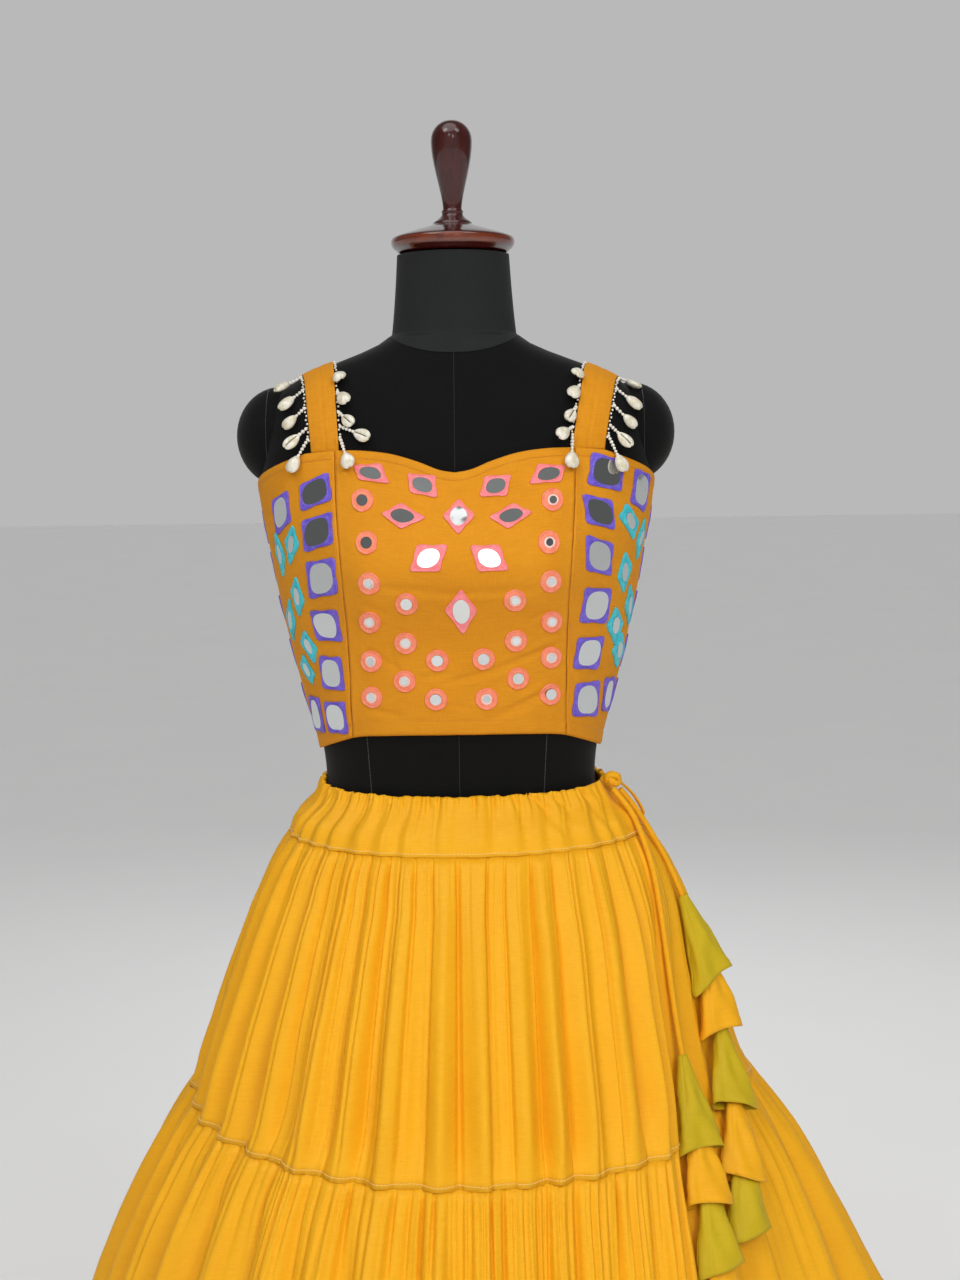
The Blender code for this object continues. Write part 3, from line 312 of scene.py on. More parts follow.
@dataclass(frozen=True)
class SkirtForm:
    """The lehenga's surface without its folds."""

    # Height, left, right, front, back, depth of the folds
    rows: Rows = (
        (1.05, 0.1293, 0.1333, 0.1018, 0.0988, 0.0014), (1.036, 0.135, 0.142, 0.11, 0.106, 0.0022),
        (1.018, 0.1525, 0.162, 0.126, 0.12, 0.0026), (1.003, 0.16, 0.17, 0.133, 0.128, 0.0014),
        (0.985, 0.1715, 0.1835, 0.146, 0.142, 0.003), (0.955, 0.1855, 0.1995, 0.167, 0.164, 0.0045),
        (0.875, 0.215, 0.23, 0.214, 0.212, 0.007), (0.763, 0.256, 0.27, 0.268, 0.264, 0.009),
        (0.74, 0.272, 0.288, 0.28, 0.278, 0.006), (0.7, 0.292, 0.314, 0.301, 0.302, 0.009),
        (0.63, 0.322, 0.348, 0.329, 0.334, 0.012), (0.545, 0.352, 0.386, 0.36, 0.368, 0.013),
        (0.52, 0.365, 0.4, 0.373, 0.382, 0.008), (0.47, 0.383, 0.419, 0.392, 0.402, 0.012),
        (0.31, 0.433, 0.465, 0.44, 0.452, 0.016), (0.285, 0.444, 0.476, 0.451, 0.463, 0.009),
        (0.235, 0.459, 0.49, 0.466, 0.477, 0.014), (0.065, 0.507, 0.533, 0.513, 0.523, 0.021),
    )
    # Valley that the drawstring's ends hang in: height, distance to the right, depth
    valley: Rows = (
        (1.05, 0.131, 0.0), (1.003, 0.156, 0.0), (0.955, 0.176, 0.004), (0.875, 0.192, 0.02),
        (0.763, 0.208, 0.03), (0.63, 0.224, 0.038), (0.545, 0.233, 0.038), (0.31, 0.275, 0.026),
        (0.065, 0.315, 0.018),
    )
    # The valley's angle among the folds, its reach to the front and to the rear
    valley_angle: float = math.radians(70)
    valley_front: float = math.radians(8.5)
    valley_rear: float = math.radians(20)
    # Heights where the outline is an oval and where it is as square as the form
    oval_from: float = 0.96
    square_from: float = 1.02
    squareness: float = 2.2
    # Large folds all round: their number, their random seed and how uneven their widths are
    folds: int = 37
    fold_seed: int = 11
    fold_uneven: float = 0.3
    # The folds flatten where the first two tiers are sewn together
    seam_height: float = 0.763
    seam_flat: float = 0.5

    def bend(self, height: Array) -> Array:
        """How square the outline is at a height, as the power of its sine and cosine."""
        share = np.clip((height - self.oval_from) / (self.square_from - self.oval_from), 0, 1)
        return 1 + share * (2 / self.squareness - 1)

    def valley_centre(self, height: Array) -> Array:
        """The angle of the valley's middle at a height."""
        reach = table_curve(self.valley, 1, height) / table_curve(self.rows, 2, height)
        return np.arcsin(np.minimum(0.999, reach))

    def squeeze(self, angle: Array, height: Array) -> Array:
        """How much narrower a fold is for the valley beside it."""
        centre = self.valley_centre(height)
        front, rear = centre / self.valley_angle, (math.pi - centre) / (math.pi - self.valley_angle)
        return np.where(angle <= 0, 1.0, np.where(angle <= self.valley_angle, front, rear))

    def valley_share(self, angle: Array) -> Array:
        """How deep in the valley an angle lies, from 0 to 1."""
        aside = angle - self.valley_angle
        return np.exp(-np.abs(aside / np.where(aside < 0, self.valley_front, self.valley_rear)) ** 3)

    def point(self, angle: Array, height: Array, out: Array | float = 0.0) -> Array:
        """Finds points of the lehenga.

        Args:
            angle: of the fold, from the centre front towards +X.
            height: above the floor.
            out: how far off the unfolded surface.

        Returns:
            The points, one row each.
        """
        left, right, front, back = (table_curve(self.rows, column, height) for column in range(1, 5))
        centre = self.valley_centre(height)
        rest = (math.pi - centre) / (math.pi - self.valley_angle)
        ahead_of = angle * centre / self.valley_angle
        behind = centre + (angle - self.valley_angle) * rest
        turned = np.where(angle <= 0, angle, np.where(angle <= self.valley_angle, ahead_of, behind))
        bend = self.bend(height)
        side, ahead = signed_power(np.sin(turned), bend), signed_power(np.cos(turned), bend)
        half, deep = np.where(side >= 0, right, left), np.where(ahead >= 0, front, back)
        away = unit(np.stack([side * deep, -ahead * half, 0 * side], axis=-1))
        sink = self.valley_share(angle) * table_curve(self.valley, 2, height)
        base = np.stack([half * side, -deep * ahead, height + 0 * side], axis=-1)
        return base + away * np.asarray(out - sink)[..., None]

    def angle_at(self, across: float, height: float) -> float:
        """The fold's angle that lies in front at a distance from the middle."""
        half = float(table_curve(self.rows, 2 if across >= 0 else 1, height))
        turned = math.asin(min(0.999, (abs(across) / half) ** (1 / float(self.bend(height)))))
        if across < 0:
            return -turned
        return turned * self.valley_angle / float(self.valley_centre(height))

    @cached_property
    def fold_angles(self) -> Array:
        """The angles of the large folds' ridges and troughs."""
        widths = 1 + self.fold_uneven * np.random.default_rng(self.fold_seed).uniform(-1, 1, 2 * self.folds)
        return -math.pi + np.cumsum(widths) * 2 * math.pi / widths.sum()

    def fold_heights(self, number: int) -> Array:
        """Each large fold's height at one seam: ridges above 0, troughs below."""
        rng = np.random.default_rng(self.fold_seed + number)
        return np.array([(1 if k % 2 == 0 else -1) * rng.uniform(0.55, 1.25) for k in range(2 * self.folds)])

    def large_folds(self, number: int, angle: Array, share: Array, height: Array) -> Array:
        """The rise of the large folds on one band of cloth.

        Args:
            number: of the seam that the band starts at, from 0 at the top.
            angle: of the fold.
            share: of the band's length, from its top.
            height: above the floor.

        Returns:
            The distance out, below 0 in a trough.
        """
        knots = self.fold_angles
        knots = np.concatenate([[knots[-1] - 2 * math.pi], knots, [knots[0] + 2 * math.pi]])
        i = np.clip(np.searchsorted(knots, angle, side="right") - 1, 0, len(knots) - 2)
        t = (angle - knots[i]) / (knots[i + 1] - knots[i])
        t = t * t * (3 - 2 * t)
        found = 0.0
        for seam, weight in ((number, 1 - share), (number + 1, share)):
            heights = self.fold_heights(seam)
            heights = np.concatenate([heights[-1:], heights, heights[:1]])
            found = found + weight * (heights[i] * (1 - t) + heights[i + 1] * t)
        depth = table_curve(self.rows, 5, height) * np.minimum(1.0, self.squeeze(angle, height))
        flatter = 1 - self.seam_flat * bell(height - self.seam_height, 0.025)
        return found * depth * flatter * (1 - 0.6 * self.valley_share(angle))


class Route:
    """A smooth way through a cord's points."""

    def __init__(self, points: Sequence[Sequence[float]], steps: int = 12) -> None:
        """Rounds the way between the points."""
        ends = np.array(points, float)
        held = np.vstack([2 * ends[0] - ends[1], ends, 2 * ends[-1] - ends[-2]])
        way = []
        for before, here, there, after in zip(held, held[1:], held[2:], held[3:]):
            for t in np.linspace(0, 1, steps, endpoint=False):
                way.append(0.5 * (2 * here + (there - before) * t
                                  + (2 * before - 5 * here + 4 * there - after) * t**2
                                  + (3 * here - before - 3 * there + after) * t**3))
        self.way = np.array([*way, ends[-1]])
        self.along = tape(self.way)

    @property
    def length(self) -> float:
        """The way's whole length."""
        return float(self.along[-1])

    def at(self, distance: Array | float) -> Array:
        """Points at a distance along the way."""
        return points_at(distance, self.along, self.way)

    def heading(self, distance: Array | float, reach: float = 0.01) -> Array:
        """The way's direction at a distance along it."""
        return unit(self.at(np.asarray(distance) + reach) - self.at(np.asarray(distance) - reach))


# Finishes


def linear(code: str) -> tuple[float, float, float, float]:
    """Turns an sRGB hex colour into Blender's linear values."""
    parts = [int(code[i:i + 2], 16) / 255 for i in (1, 3, 5)]
    return (*(p / 12.92 if p <= 0.04045 else ((p + 0.055) / 1.055) ** 2.4 for p in parts), 1.0)


def add_node(tree: Tree, kind: str, inputs: Optional[Sockets] = None, **settings) -> Node:
    """Adds a shader node.

    Args:
        tree: the material's node tree.
        kind: the node's type.
        inputs: what goes into its sockets: a value, or another node's output.
        settings: the node's own properties.

    Returns:
        The new node.
    """
    made = tree.nodes.new(kind)
    for name, value in settings.items():
        setattr(made, name, value)
    for socket, value in (inputs or {}).items():
        if isinstance(value, Socket):
            tree.links.new(value, made.inputs[socket])
        else:
            made.inputs[socket].default_value = value
    return made


class Coordinates(Enum):
    """What a finish measures its pattern in: the cloth's own flat metres, or the object's."""

    FLAT = "UV"
    OBJECT = "Object"


@dataclass(frozen=True)
class Finish:
    """A procedural material. Each kind adds its own nodes."""

    name: str
    slot: Optional[str] = None

    def made(self) -> bpy.types.Material:
        """The material, made the first time it is asked for."""
        found = bpy.data.materials.get(self.name)
        if found:
            return found
        made = bpy.data.materials.new(self.name)
        made.use_nodes = True
        tree = made.node_tree
        tree.nodes.clear()
        shader = add_node(tree, "ShaderNodeBsdfPrincipled", self.look(tree))
        add_node(tree, "ShaderNodeOutputMaterial", {0: shader.outputs[0]})
        return made

    def look(self, tree: Tree) -> Sockets:
        """Adds the pattern's nodes and returns what goes into the shader."""
        raise NotImplementedError

    @staticmethod
    def stretched(tree: Tree, scale: Point, detail: float = 2.0,
                  source: Coordinates = Coordinates.OBJECT) -> Socket:
        """Noise drawn out along one direction, with that many grains to a metre each way."""
        place = add_node(tree, "ShaderNodeTexCoord").outputs[source.value]
        turned = add_node(tree, "ShaderNodeMapping", {0: place, 3: scale})
        return add_node(tree, "ShaderNodeTexNoise", {
            "Vector": turned.outputs[0], "Scale": 1.0, "Detail": detail}).outputs[0]

    @staticmethod
    def weighed(tree: Tree, parts: Sequence[tuple[Socket, float]], start: float = 0.0) -> Socket | float:
        """Adds up sockets by their weights."""
        total: Socket | float = start
        for socket, weight in parts:
            total = add_node(tree, "ShaderNodeMath", {0: socket, 1: weight, 2: total},
                             operation="MULTIPLY_ADD").outputs[0]
        return total

    @staticmethod
    def bumped(tree: Tree, height: Socket, depth: float, strength: float = 1.0) -> Socket:
        """A relief that many metres deep."""
        return add_node(tree, "ShaderNodeBump", {
            "Strength": strength, "Distance": depth, "Height": height}).outputs[0]

    @staticmethod
    def mixed(tree: Tree, share: Socket, low: str, high: str) -> Socket:
        """A colour between two, by a share from 0 to 1."""
        return add_node(tree, "ShaderNodeMix", {0: share, 6: linear(low), 7: linear(high)},
                        data_type="RGBA", clamp_factor=True).outputs[2]


@dataclass(frozen=True)
class WovenCloth(Finish):
    """Plain-weave cloth: thicker weft threads show as short slubs across, and the light catches them."""

    dark: str = "#C27F14"
    light: str = "#E59A22"
    # Shares of the weft's slubs, the warp and the clouds of the dye in the colour
    slub: float = 0.9
    warp: float = 0.45
    cloudy: float = 0.5
    # Threads to a metre. The real ones, about 2500, are too fine to show, so they are drawn coarser
    grain: float = 1500.0
    roughness: float = 0.8
    sheen: float = 0.25
    relief: float = 0.00016
    source: Coordinates = Coordinates.FLAT

    def look(self, tree: Tree) -> Sockets:
        """Weft slubs, finer warp and a cloudy dye, in the colour and the relief."""
        weft = self.stretched(tree, (70, self.grain, 70), 3.0, self.source)
        warp = self.stretched(tree, (self.grain, 90, 90), 2.0, self.source)
        cloud = self.stretched(tree, (22, 22, 22), 3.0, self.source)
        total = self.weighed(tree, ((weft, self.slub), (warp, self.warp), (cloud, self.cloudy)),
                             0.5 - (self.slub + self.warp + self.cloudy) / 2)
        colour = self.mixed(tree, total, self.dark, self.light)
        height = self.weighed(tree, ((weft, 0.6), (warp, 0.4)))
        bump = self.bumped(tree, height, self.relief)
        return {
            "Base Color": colour, "Roughness": self.roughness, "Sheen Weight": self.sheen,
            "Sheen Roughness": 0.5, "Sheen Tint": linear(self.light), "Specular IOR Level": 0.3,
            "Normal": bump}


@dataclass(frozen=True)
class SatinFloss(Finish):
    """Glossy embroidery floss laid side by side across a frame's width."""

    dark: str = "#C8503C"
    light: str = "#FF8C78"
    # Width of a thread. The real one, about 0.3 mm, is too fine to show, so it is drawn coarser
    pitch: float = 0.00045

    def look(self, tree: Tree) -> Sockets:
        """Fine ridges of floss along the frame, a little uneven."""
        threads = self.stretched(tree, (1 / self.pitch, 120, 1), 1.0, Coordinates.FLAT)
        uneven = self.stretched(tree, (160, 160, 160), 2.0)
        share = self.weighed(tree, ((threads, 1.3), (uneven, 0.9)), -0.6)
        colour = self.mixed(tree, share, self.dark, self.light)
        bump = self.bumped(tree, threads, 0.00018)
        return {
            "Base Color": colour, "Roughness": 0.38, "Sheen Weight": 0.3, "Sheen Tint": linear(self.light),
            "Specular IOR Level": 0.6, "Normal": bump}


@dataclass(frozen=True)
class MirrorGlass(Finish):
    """Thin silvered glass, a little wavy, which gives back the room."""

    def look(self, tree: Tree) -> Sockets:
        """A clean silver with a faint waviness."""
        wave = self.stretched(tree, (55, 55, 55), 1.0)
        bump = self.bumped(tree, wave, 0.0004, 0.5)
        dust = self.stretched(tree, (900, 900, 900), 3.0)
        rough = self.weighed(tree, ((dust, 0.06),), 0.02)
        return {
            "Base Color": linear("#E6EAE9"), "Metallic": 1.0, "Roughness": rough, "Normal": bump}


@dataclass(frozen=True)
class CowrieShell(Finish):
    """Glazed cowrie shell: ivory, with warmer clouds and a porcelain gloss."""

    def look(self, tree: Tree) -> Sockets:
        """Ivory clouded with a warmer tone under a clear glaze."""
        cloud = self.stretched(tree, (210, 210, 150), 3.0)
        share = self.weighed(tree, ((cloud, 2.4),), -0.85)
        colour = self.mixed(tree, share, "#CFC6AA", "#F7F4EC")
        return {
            "Base Color": colour, "Roughness": 0.28, "IOR": 1.53, "Coat Weight": 0.5, "Coat Roughness": 0.08,
            "Subsurface Weight": 0.12, "Subsurface Radius": (0.002, 0.0015, 0.001), "Subsurface Scale": 1.0}


@dataclass(frozen=True)
class GlassBead(Finish):
    """Opaque white seed and tube beads."""

    def look(self, tree: Tree) -> Sockets:
        """White glass, each bead a little different."""
        tone = self.stretched(tree, (240, 240, 240), 1.0)
        colour = self.mixed(tree, tone, "#D8D2C2", "#F7F4EC")
        return {
            "Base Color": colour, "Roughness": 0.18, "IOR": 1.52, "Coat Weight": 0.4}


@dataclass(frozen=True)
class SewingThread(Finish):
    """Spun sewing thread with a twist along it."""

    dark: str = "#B8751A"
    light: str = "#E2A743"

    def look(self, tree: Tree) -> Sockets:
        """Fine twist in the colour and the relief, drawn coarser than the real one so that it shows."""
        twist = self.stretched(tree, (1800, 1800, 1800), 1.0)
        colour = self.mixed(tree, twist, self.dark, self.light)
        bump = self.bumped(tree, twist, 0.0001, 0.2)
        return {
            "Base Color": colour, "Roughness": 0.6, "Sheen Weight": 0.3, "Normal": bump}


@dataclass(frozen=True)
class StretchJersey(Finish):
    """Matt knitted jersey with fine upright wales."""

    dark: str = "#111112"
    light: str = "#1D1D1F"

    def look(self, tree: Tree) -> Sockets:
        """Wales and courses as an uneven relief, coarser than real ones to show, under a faint nap."""
        wales = self.stretched(tree, (1100, 1100, 260), 2.0)
        cloud = self.stretched(tree, (30, 30, 30), 3.0)
        share = self.weighed(tree, ((wales, 0.9), (cloud, 0.5)), -0.2)
        colour = self.mixed(tree, share, self.dark, self.light)
        bump = self.bumped(tree, wales, 0.00015, 0.6)
        return {
            "Base Color": colour, "Roughness": 0.88, "Sheen Weight": 0.08, "Sheen Roughness": 0.4,
            "Specular IOR Level": 0.18, "Normal": bump}


@dataclass(frozen=True)
class LacqueredMahogany(Finish):
    """Turned mahogany under a thick dark lacquer, with a redder brown band on the plate's rim."""

    # Heights of the rim, and over how much of it the redder band fades
    rim_low: float = 1.532
    rim_high: float = 1.5425
    fade: float = 0.003

    def look(self, tree: Tree) -> Sockets:
        """Grain along the turning's axis, a warmer rim and a clear gloss coat."""
        grain = self.stretched(tree, (420, 420, 26), 4.0)
        wood = self.mixed(tree, self.weighed(tree, ((grain, 1.8),), -0.4), "#230604", "#4E120B")
        place = add_node(tree, "ShaderNodeTexCoord").outputs["Object"]
        height = add_node(tree, "ShaderNodeSeparateXYZ", {0: place}).outputs[2]
        rise, fall = (
            add_node(tree, "ShaderNodeMapRange", {0: height, 1: edge, 2: edge + fade},
                     interpolation_type="SMOOTHSTEP").outputs[0]
            for edge, fade in ((self.rim_low, self.fade), (self.rim_high, -self.fade)))
        band = add_node(tree, "ShaderNodeMath", {0: rise, 1: fall}, operation="MULTIPLY").outputs[0]
        patch = self.stretched(tree, (60, 60, 160), 3.0)
        share = add_node(tree, "ShaderNodeMath", {0: band, 1: patch}, operation="MULTIPLY").outputs[0]
        colour = add_node(tree, "ShaderNodeMix", {0: share, 6: wood, 7: linear("#8A3E1C")},
                          data_type="RGBA").outputs[2]
        return {
            "Base Color": colour, "Roughness": 0.22, "Coat Weight": 1.0, "Coat Roughness": 0.04,
            "Coat IOR": 1.52}


@dataclass(frozen=True)
class PowderCoat(Finish):
    """Satin black powder coat on steel, with its fine orange-peel skin."""

    def look(self, tree: Tree) -> Sockets:
        """An even black with a fine pebbled relief."""
        peel = self.stretched(tree, (700, 700, 700), 2.0)
        bump = self.bumped(tree, peel, 0.0001, 0.4)
        colour = self.mixed(tree, peel, "#17181A", "#232427")
        return {
            "Base Color": colour, "Roughness": 0.42, "Normal": bump}


@dataclass(frozen=True)
class StudioPaper(Finish):
    """Matt pale paper under the object."""

    def look(self, tree: Tree) -> Sockets:
        """A pale grey with hardly any variation."""
        cloud = self.stretched(tree, (2, 2, 2), 2.0)
        return {
            "Base Color": self.mixed(tree, cloud, "#EFEFEF", "#F3F3F2"), "Roughness": 0.9}


COTTON = WovenCloth("mustard_cotton_weave", "mustard_cotton", "#C77C11", "#E29920", grain=950.0)
RAYON = WovenCloth("golden_rayon_slub", "golden_rayon", "#E49913", "#F3B922", slub=0.7, warp=0.3, cloudy=0.35,
                   grain=800.0, roughness=0.5, sheen=0.12, relief=0.00012)
CORD_RAYON = WovenCloth("golden_rayon_cord", "golden_rayon", "#E29612", "#F1B520", roughness=0.5, sheen=0.12,
                        relief=0.00012, source=Coordinates.OBJECT)
OLIVE = WovenCloth("olive_cotton_weave", "olive_cloth", "#B39613", "#D3B824", slub=0.6, roughness=0.55,
                   sheen=0.15)
CORAL = SatinFloss("coral_satin_floss", None, "#EE6A72", "#FF9C9E")
ORANGE = SatinFloss("orange_coral_satin_floss", None, "#EC6A45", "#FFA283")
PURPLE = SatinFloss("purple_satin_floss", None, "#4B33A6", "#8B74EA")
TURQUOISE = SatinFloss("turquoise_satin_floss", None, "#0E97AC", "#55DFEA")
# Near-white floss ring that paints the reflection of a disc mirror's bevel
BEVEL_GLINT_PAINT = SatinFloss("painted_bevel_glint_floss", None, "#F3BFB4", "#FFEDE8")
MIRROR = MirrorGlass("silvered_mirror_glass")
SHELL = CowrieShell("glazed_cowrie", "cowrie_shell")
BEAD = GlassBead("white_glass_bead", "cowrie_shell")
THREAD = SewingThread("mustard_sewing_thread", "mustard_cotton", "#B36B10", "#D58F1E")
PALE_THREAD = SewingThread("pale_sewing_thread", "golden_rayon", "#EDBC48", "#FAD878")
WHITE_THREAD = SewingThread("white_cotton_thread", "cowrie_shell", "#CFC8B4", "#EFEBDD")
# Dark brown for the lens of painted shade laid in a cowrie's slit
SLIT = SewingThread("cowrie_slit_shadow", "cowrie_shell", "#3A2A1C", "#5E4631")
DARK_THREAD = SewingThread("black_sewing_thread", "black_jersey", "#0B0B0B", "#1F1F1F")
JERSEY = StretchJersey("black_stretch_jersey", "black_jersey", "#0B0B0B", "#121212")
NECK_JERSEY = StretchJersey("charcoal_stretch_jersey", "charcoal_jersey", "#1F2020", "#2A2B2B")
MAHOGANY = LacqueredMahogany("dark_lacquered_mahogany", "lacquered_mahogany")
STEEL = PowderCoat("black_powder_coat", "black_steel")
PAPER = StudioPaper("pale_studio_paper")


# Modelling


class Facing(Enum):
    """Which way a piece's faces look."""

    CLOSED = "out of a closed form"
    FROM_AXIS = "away from the form's upright axis"
    FROM_OWN_AXIS = "away from the piece's own middle"


@dataclass(frozen=True)
class Stitch:
    """A running stitch: its length, the gap to the next and its thread's width."""

    length: float
    gap: float
    width: float


CHOLI_STITCH = Stitch(0.0021, 0.0009, 0.00042)
TIER_STITCH = Stitch(0.0026, 0.0007, 0.0007)
JERSEY_SEAM = Stitch(0.003, 0.0003, 0.0005)


class Shape:
    """A mesh in the making, which ends as one named piece on the object's body."""

    # A stitch's height as a share of its width
    stitch_rise = 0.8

    def __init__(self, name: str) -> None:
        """Starts an empty mesh with its flat coordinates."""
        self.name = name
        self.mesh = bmesh.new()
        self.flat = self.mesh.loops.layers.uv.new("UVMap")

    def grid(self, columns: int, rows: int, place: Place, size: tuple[float, float] = (1.0, 1.0),
             crowd: float = 0.0) -> None:
        """Adds a grid and moves its vertices.

        Args:
            columns: faces along u.
            rows: faces along v.
            place: gives the points for arrays of u and v, each from 0 to 1.
            size: the cloth's flat width and length in metres, which its weave is measured in.
            crowd: how much closer together the columns lie in the middle, from 0 to 1.
        """
        made = bmesh.ops.create_grid(self.mesh, x_segments=columns, y_segments=rows, size=1.0,
                                     calc_uvs=True)["verts"]
        at = np.array([vert.co[:2] for vert in made]) / 2 + 0.5
        at[:, 0] += crowd * np.sin(2 * math.pi * at[:, 0]) / (2 * math.pi)
        for vert, point in zip(made, place(at[:, 0], at[:, 1])):
            vert.co = point
        for loop in {loop for vert in made for loop in vert.link_loops}:
            u, v = loop[self.flat].uv
            u += crowd * math.sin(2 * math.pi * u) / (2 * math.pi)
            loop[self.flat].uv = (u * size[0], v * size[1])

    def ball(self, centre: Array, axes: Array, columns: int = 10, rows: int = 7) -> list:
        """Adds a sphere drawn out along three axes, given as rows with their lengths."""
        turn = Matrix([[*row] for row in np.array(axes, float).T]).to_4x4()
        made = bmesh.ops.create_uvsphere(self.mesh, u_segments=columns, v_segments=rows, radius=1.0)
        bmesh.ops.transform(self.mesh, matrix=Matrix.Translation(Vector(centre)) @ turn, verts=made["verts"])
        return made["verts"]

    def rod(self, start: Array, end: Array, radius: float, sides: int = 6) -> None:
        """Adds a closed rod from one point to another."""
        start, end = Vector(start), Vector(end)
        way = end - start
        turn = way.to_track_quat("Z", "Y").to_matrix().to_4x4()
        bmesh.ops.create_cone(self.mesh, cap_ends=True, segments=sides, radius1=radius, radius2=radius,
                              depth=way.length, matrix=Matrix.Translation((start + end) / 2) @ turn)

    def stitches(self, points: Array, out: Array, stitch: Stitch) -> None:
        """Sews a row of running stitches.

        Args:
            points: the seam's way.
            out: the way out of the cloth at each of them.
            stitch: what each one measures.
        """
        along = tape(points)
        length, width = stitch.length, stitch.width
        middles = np.arange(0, along[-1] - length, length + stitch.gap) + length / 2
        centres = points_at(middles, along, points)
        forward = unit(points_at(middles + length / 2, along, points) - centres)
        up = unit(points_at(middles, along, out))
        for centre, ahead, normal in zip(centres, forward, up):
            wide = np.cross(normal, ahead)
            frame = np.stack([ahead * length, unit(wide) * width, normal * width * self.stitch_rise])
            turn = Matrix.Translation(Vector(centre)) @ Matrix([[*row] for row in frame.T]).to_4x4()
            bmesh.ops.create_cube(self.mesh, size=1.0, matrix=turn)

    def weld(self, distance: float = 1e-6) -> None:
        """Joins the edges of grids that meet."""
        edge = [vert for vert in self.mesh.verts if vert.is_boundary]
        bmesh.ops.remove_doubles(self.mesh, verts=edge, dist=distance)

    def piece(self, finish: Finish, facing: Facing = Facing.CLOSED, wall: float = 0.0,
              smooth: bool = True) -> Piece:
        """Turns the shape into a piece of the object.

        Args:
            finish: its material.
            facing: which way its faces look.
            wall: how thick its cloth is, inwards.
            smooth: whether it is shaded round.

        Returns:
            The piece.
        """
        if facing is Facing.CLOSED:
            bmesh.ops.recalc_face_normals(self.mesh, faces=self.mesh.faces)
        else:
            middle = Vector()
            if facing is Facing.FROM_OWN_AXIS:
                middle = sum((vert.co for vert in self.mesh.verts), Vector()) / len(self.mesh.verts)
            self.mesh.normal_update()
            away = 0.0
            for face in self.mesh.faces:
                arm = face.calc_center_median() - middle
                away += face.normal.x * arm.x + face.normal.y * arm.y
            if away < 0:
                bmesh.ops.reverse_faces(self.mesh, faces=self.mesh.faces)
        mesh = bpy.data.meshes.new(self.name)
        self.mesh.to_mesh(mesh)
        self.mesh.free()
        mesh.materials.append(finish.made())
        mesh.polygons.foreach_set("use_smooth", [smooth] * len(mesh.polygons))
        made = bpy.data.objects.new(self.name, mesh)
        bpy.context.scene.collection.objects.link(made)
        if wall:
            solid = made.modifiers.new("cloth", "SOLIDIFY")
            solid.thickness = wall
            solid.offset = -1.0
        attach(made, BODY)
        LOG.info("%s: %d faces", self.name, len(mesh.polygons))
        return made


# Studio


@dataclass(frozen=True)
class Softbox:
    """A plain rectangular light."""

    name: str
    place: Point
    aim: Point
    size: tuple[float, float]
    power: float

    def build(self) -> None:
        """Makes the light."""
        data = bpy.data.lights.new(self.name, "AREA")
        data.shape = "RECTANGLE"
        data.size, data.size_y = self.size
        data.energy = self.power
        made = bpy.data.objects.new(self.name, data)
        made.location = self.place
        made.rotation_euler = (Vector(self.aim) - Vector(self.place)).to_track_quat("-Z", "Y").to_euler()
        made.visible_glossy = False
        bpy.context.scene.collection.objects.link(made)


@dataclass(frozen=True)
class GlowPanel:
    """A round bright panel of the room, which glossy faces give back as highlights."""

    # Way towards it, and the cosines at its rim and where it is full
    way: Point
    rim: float
    full: float


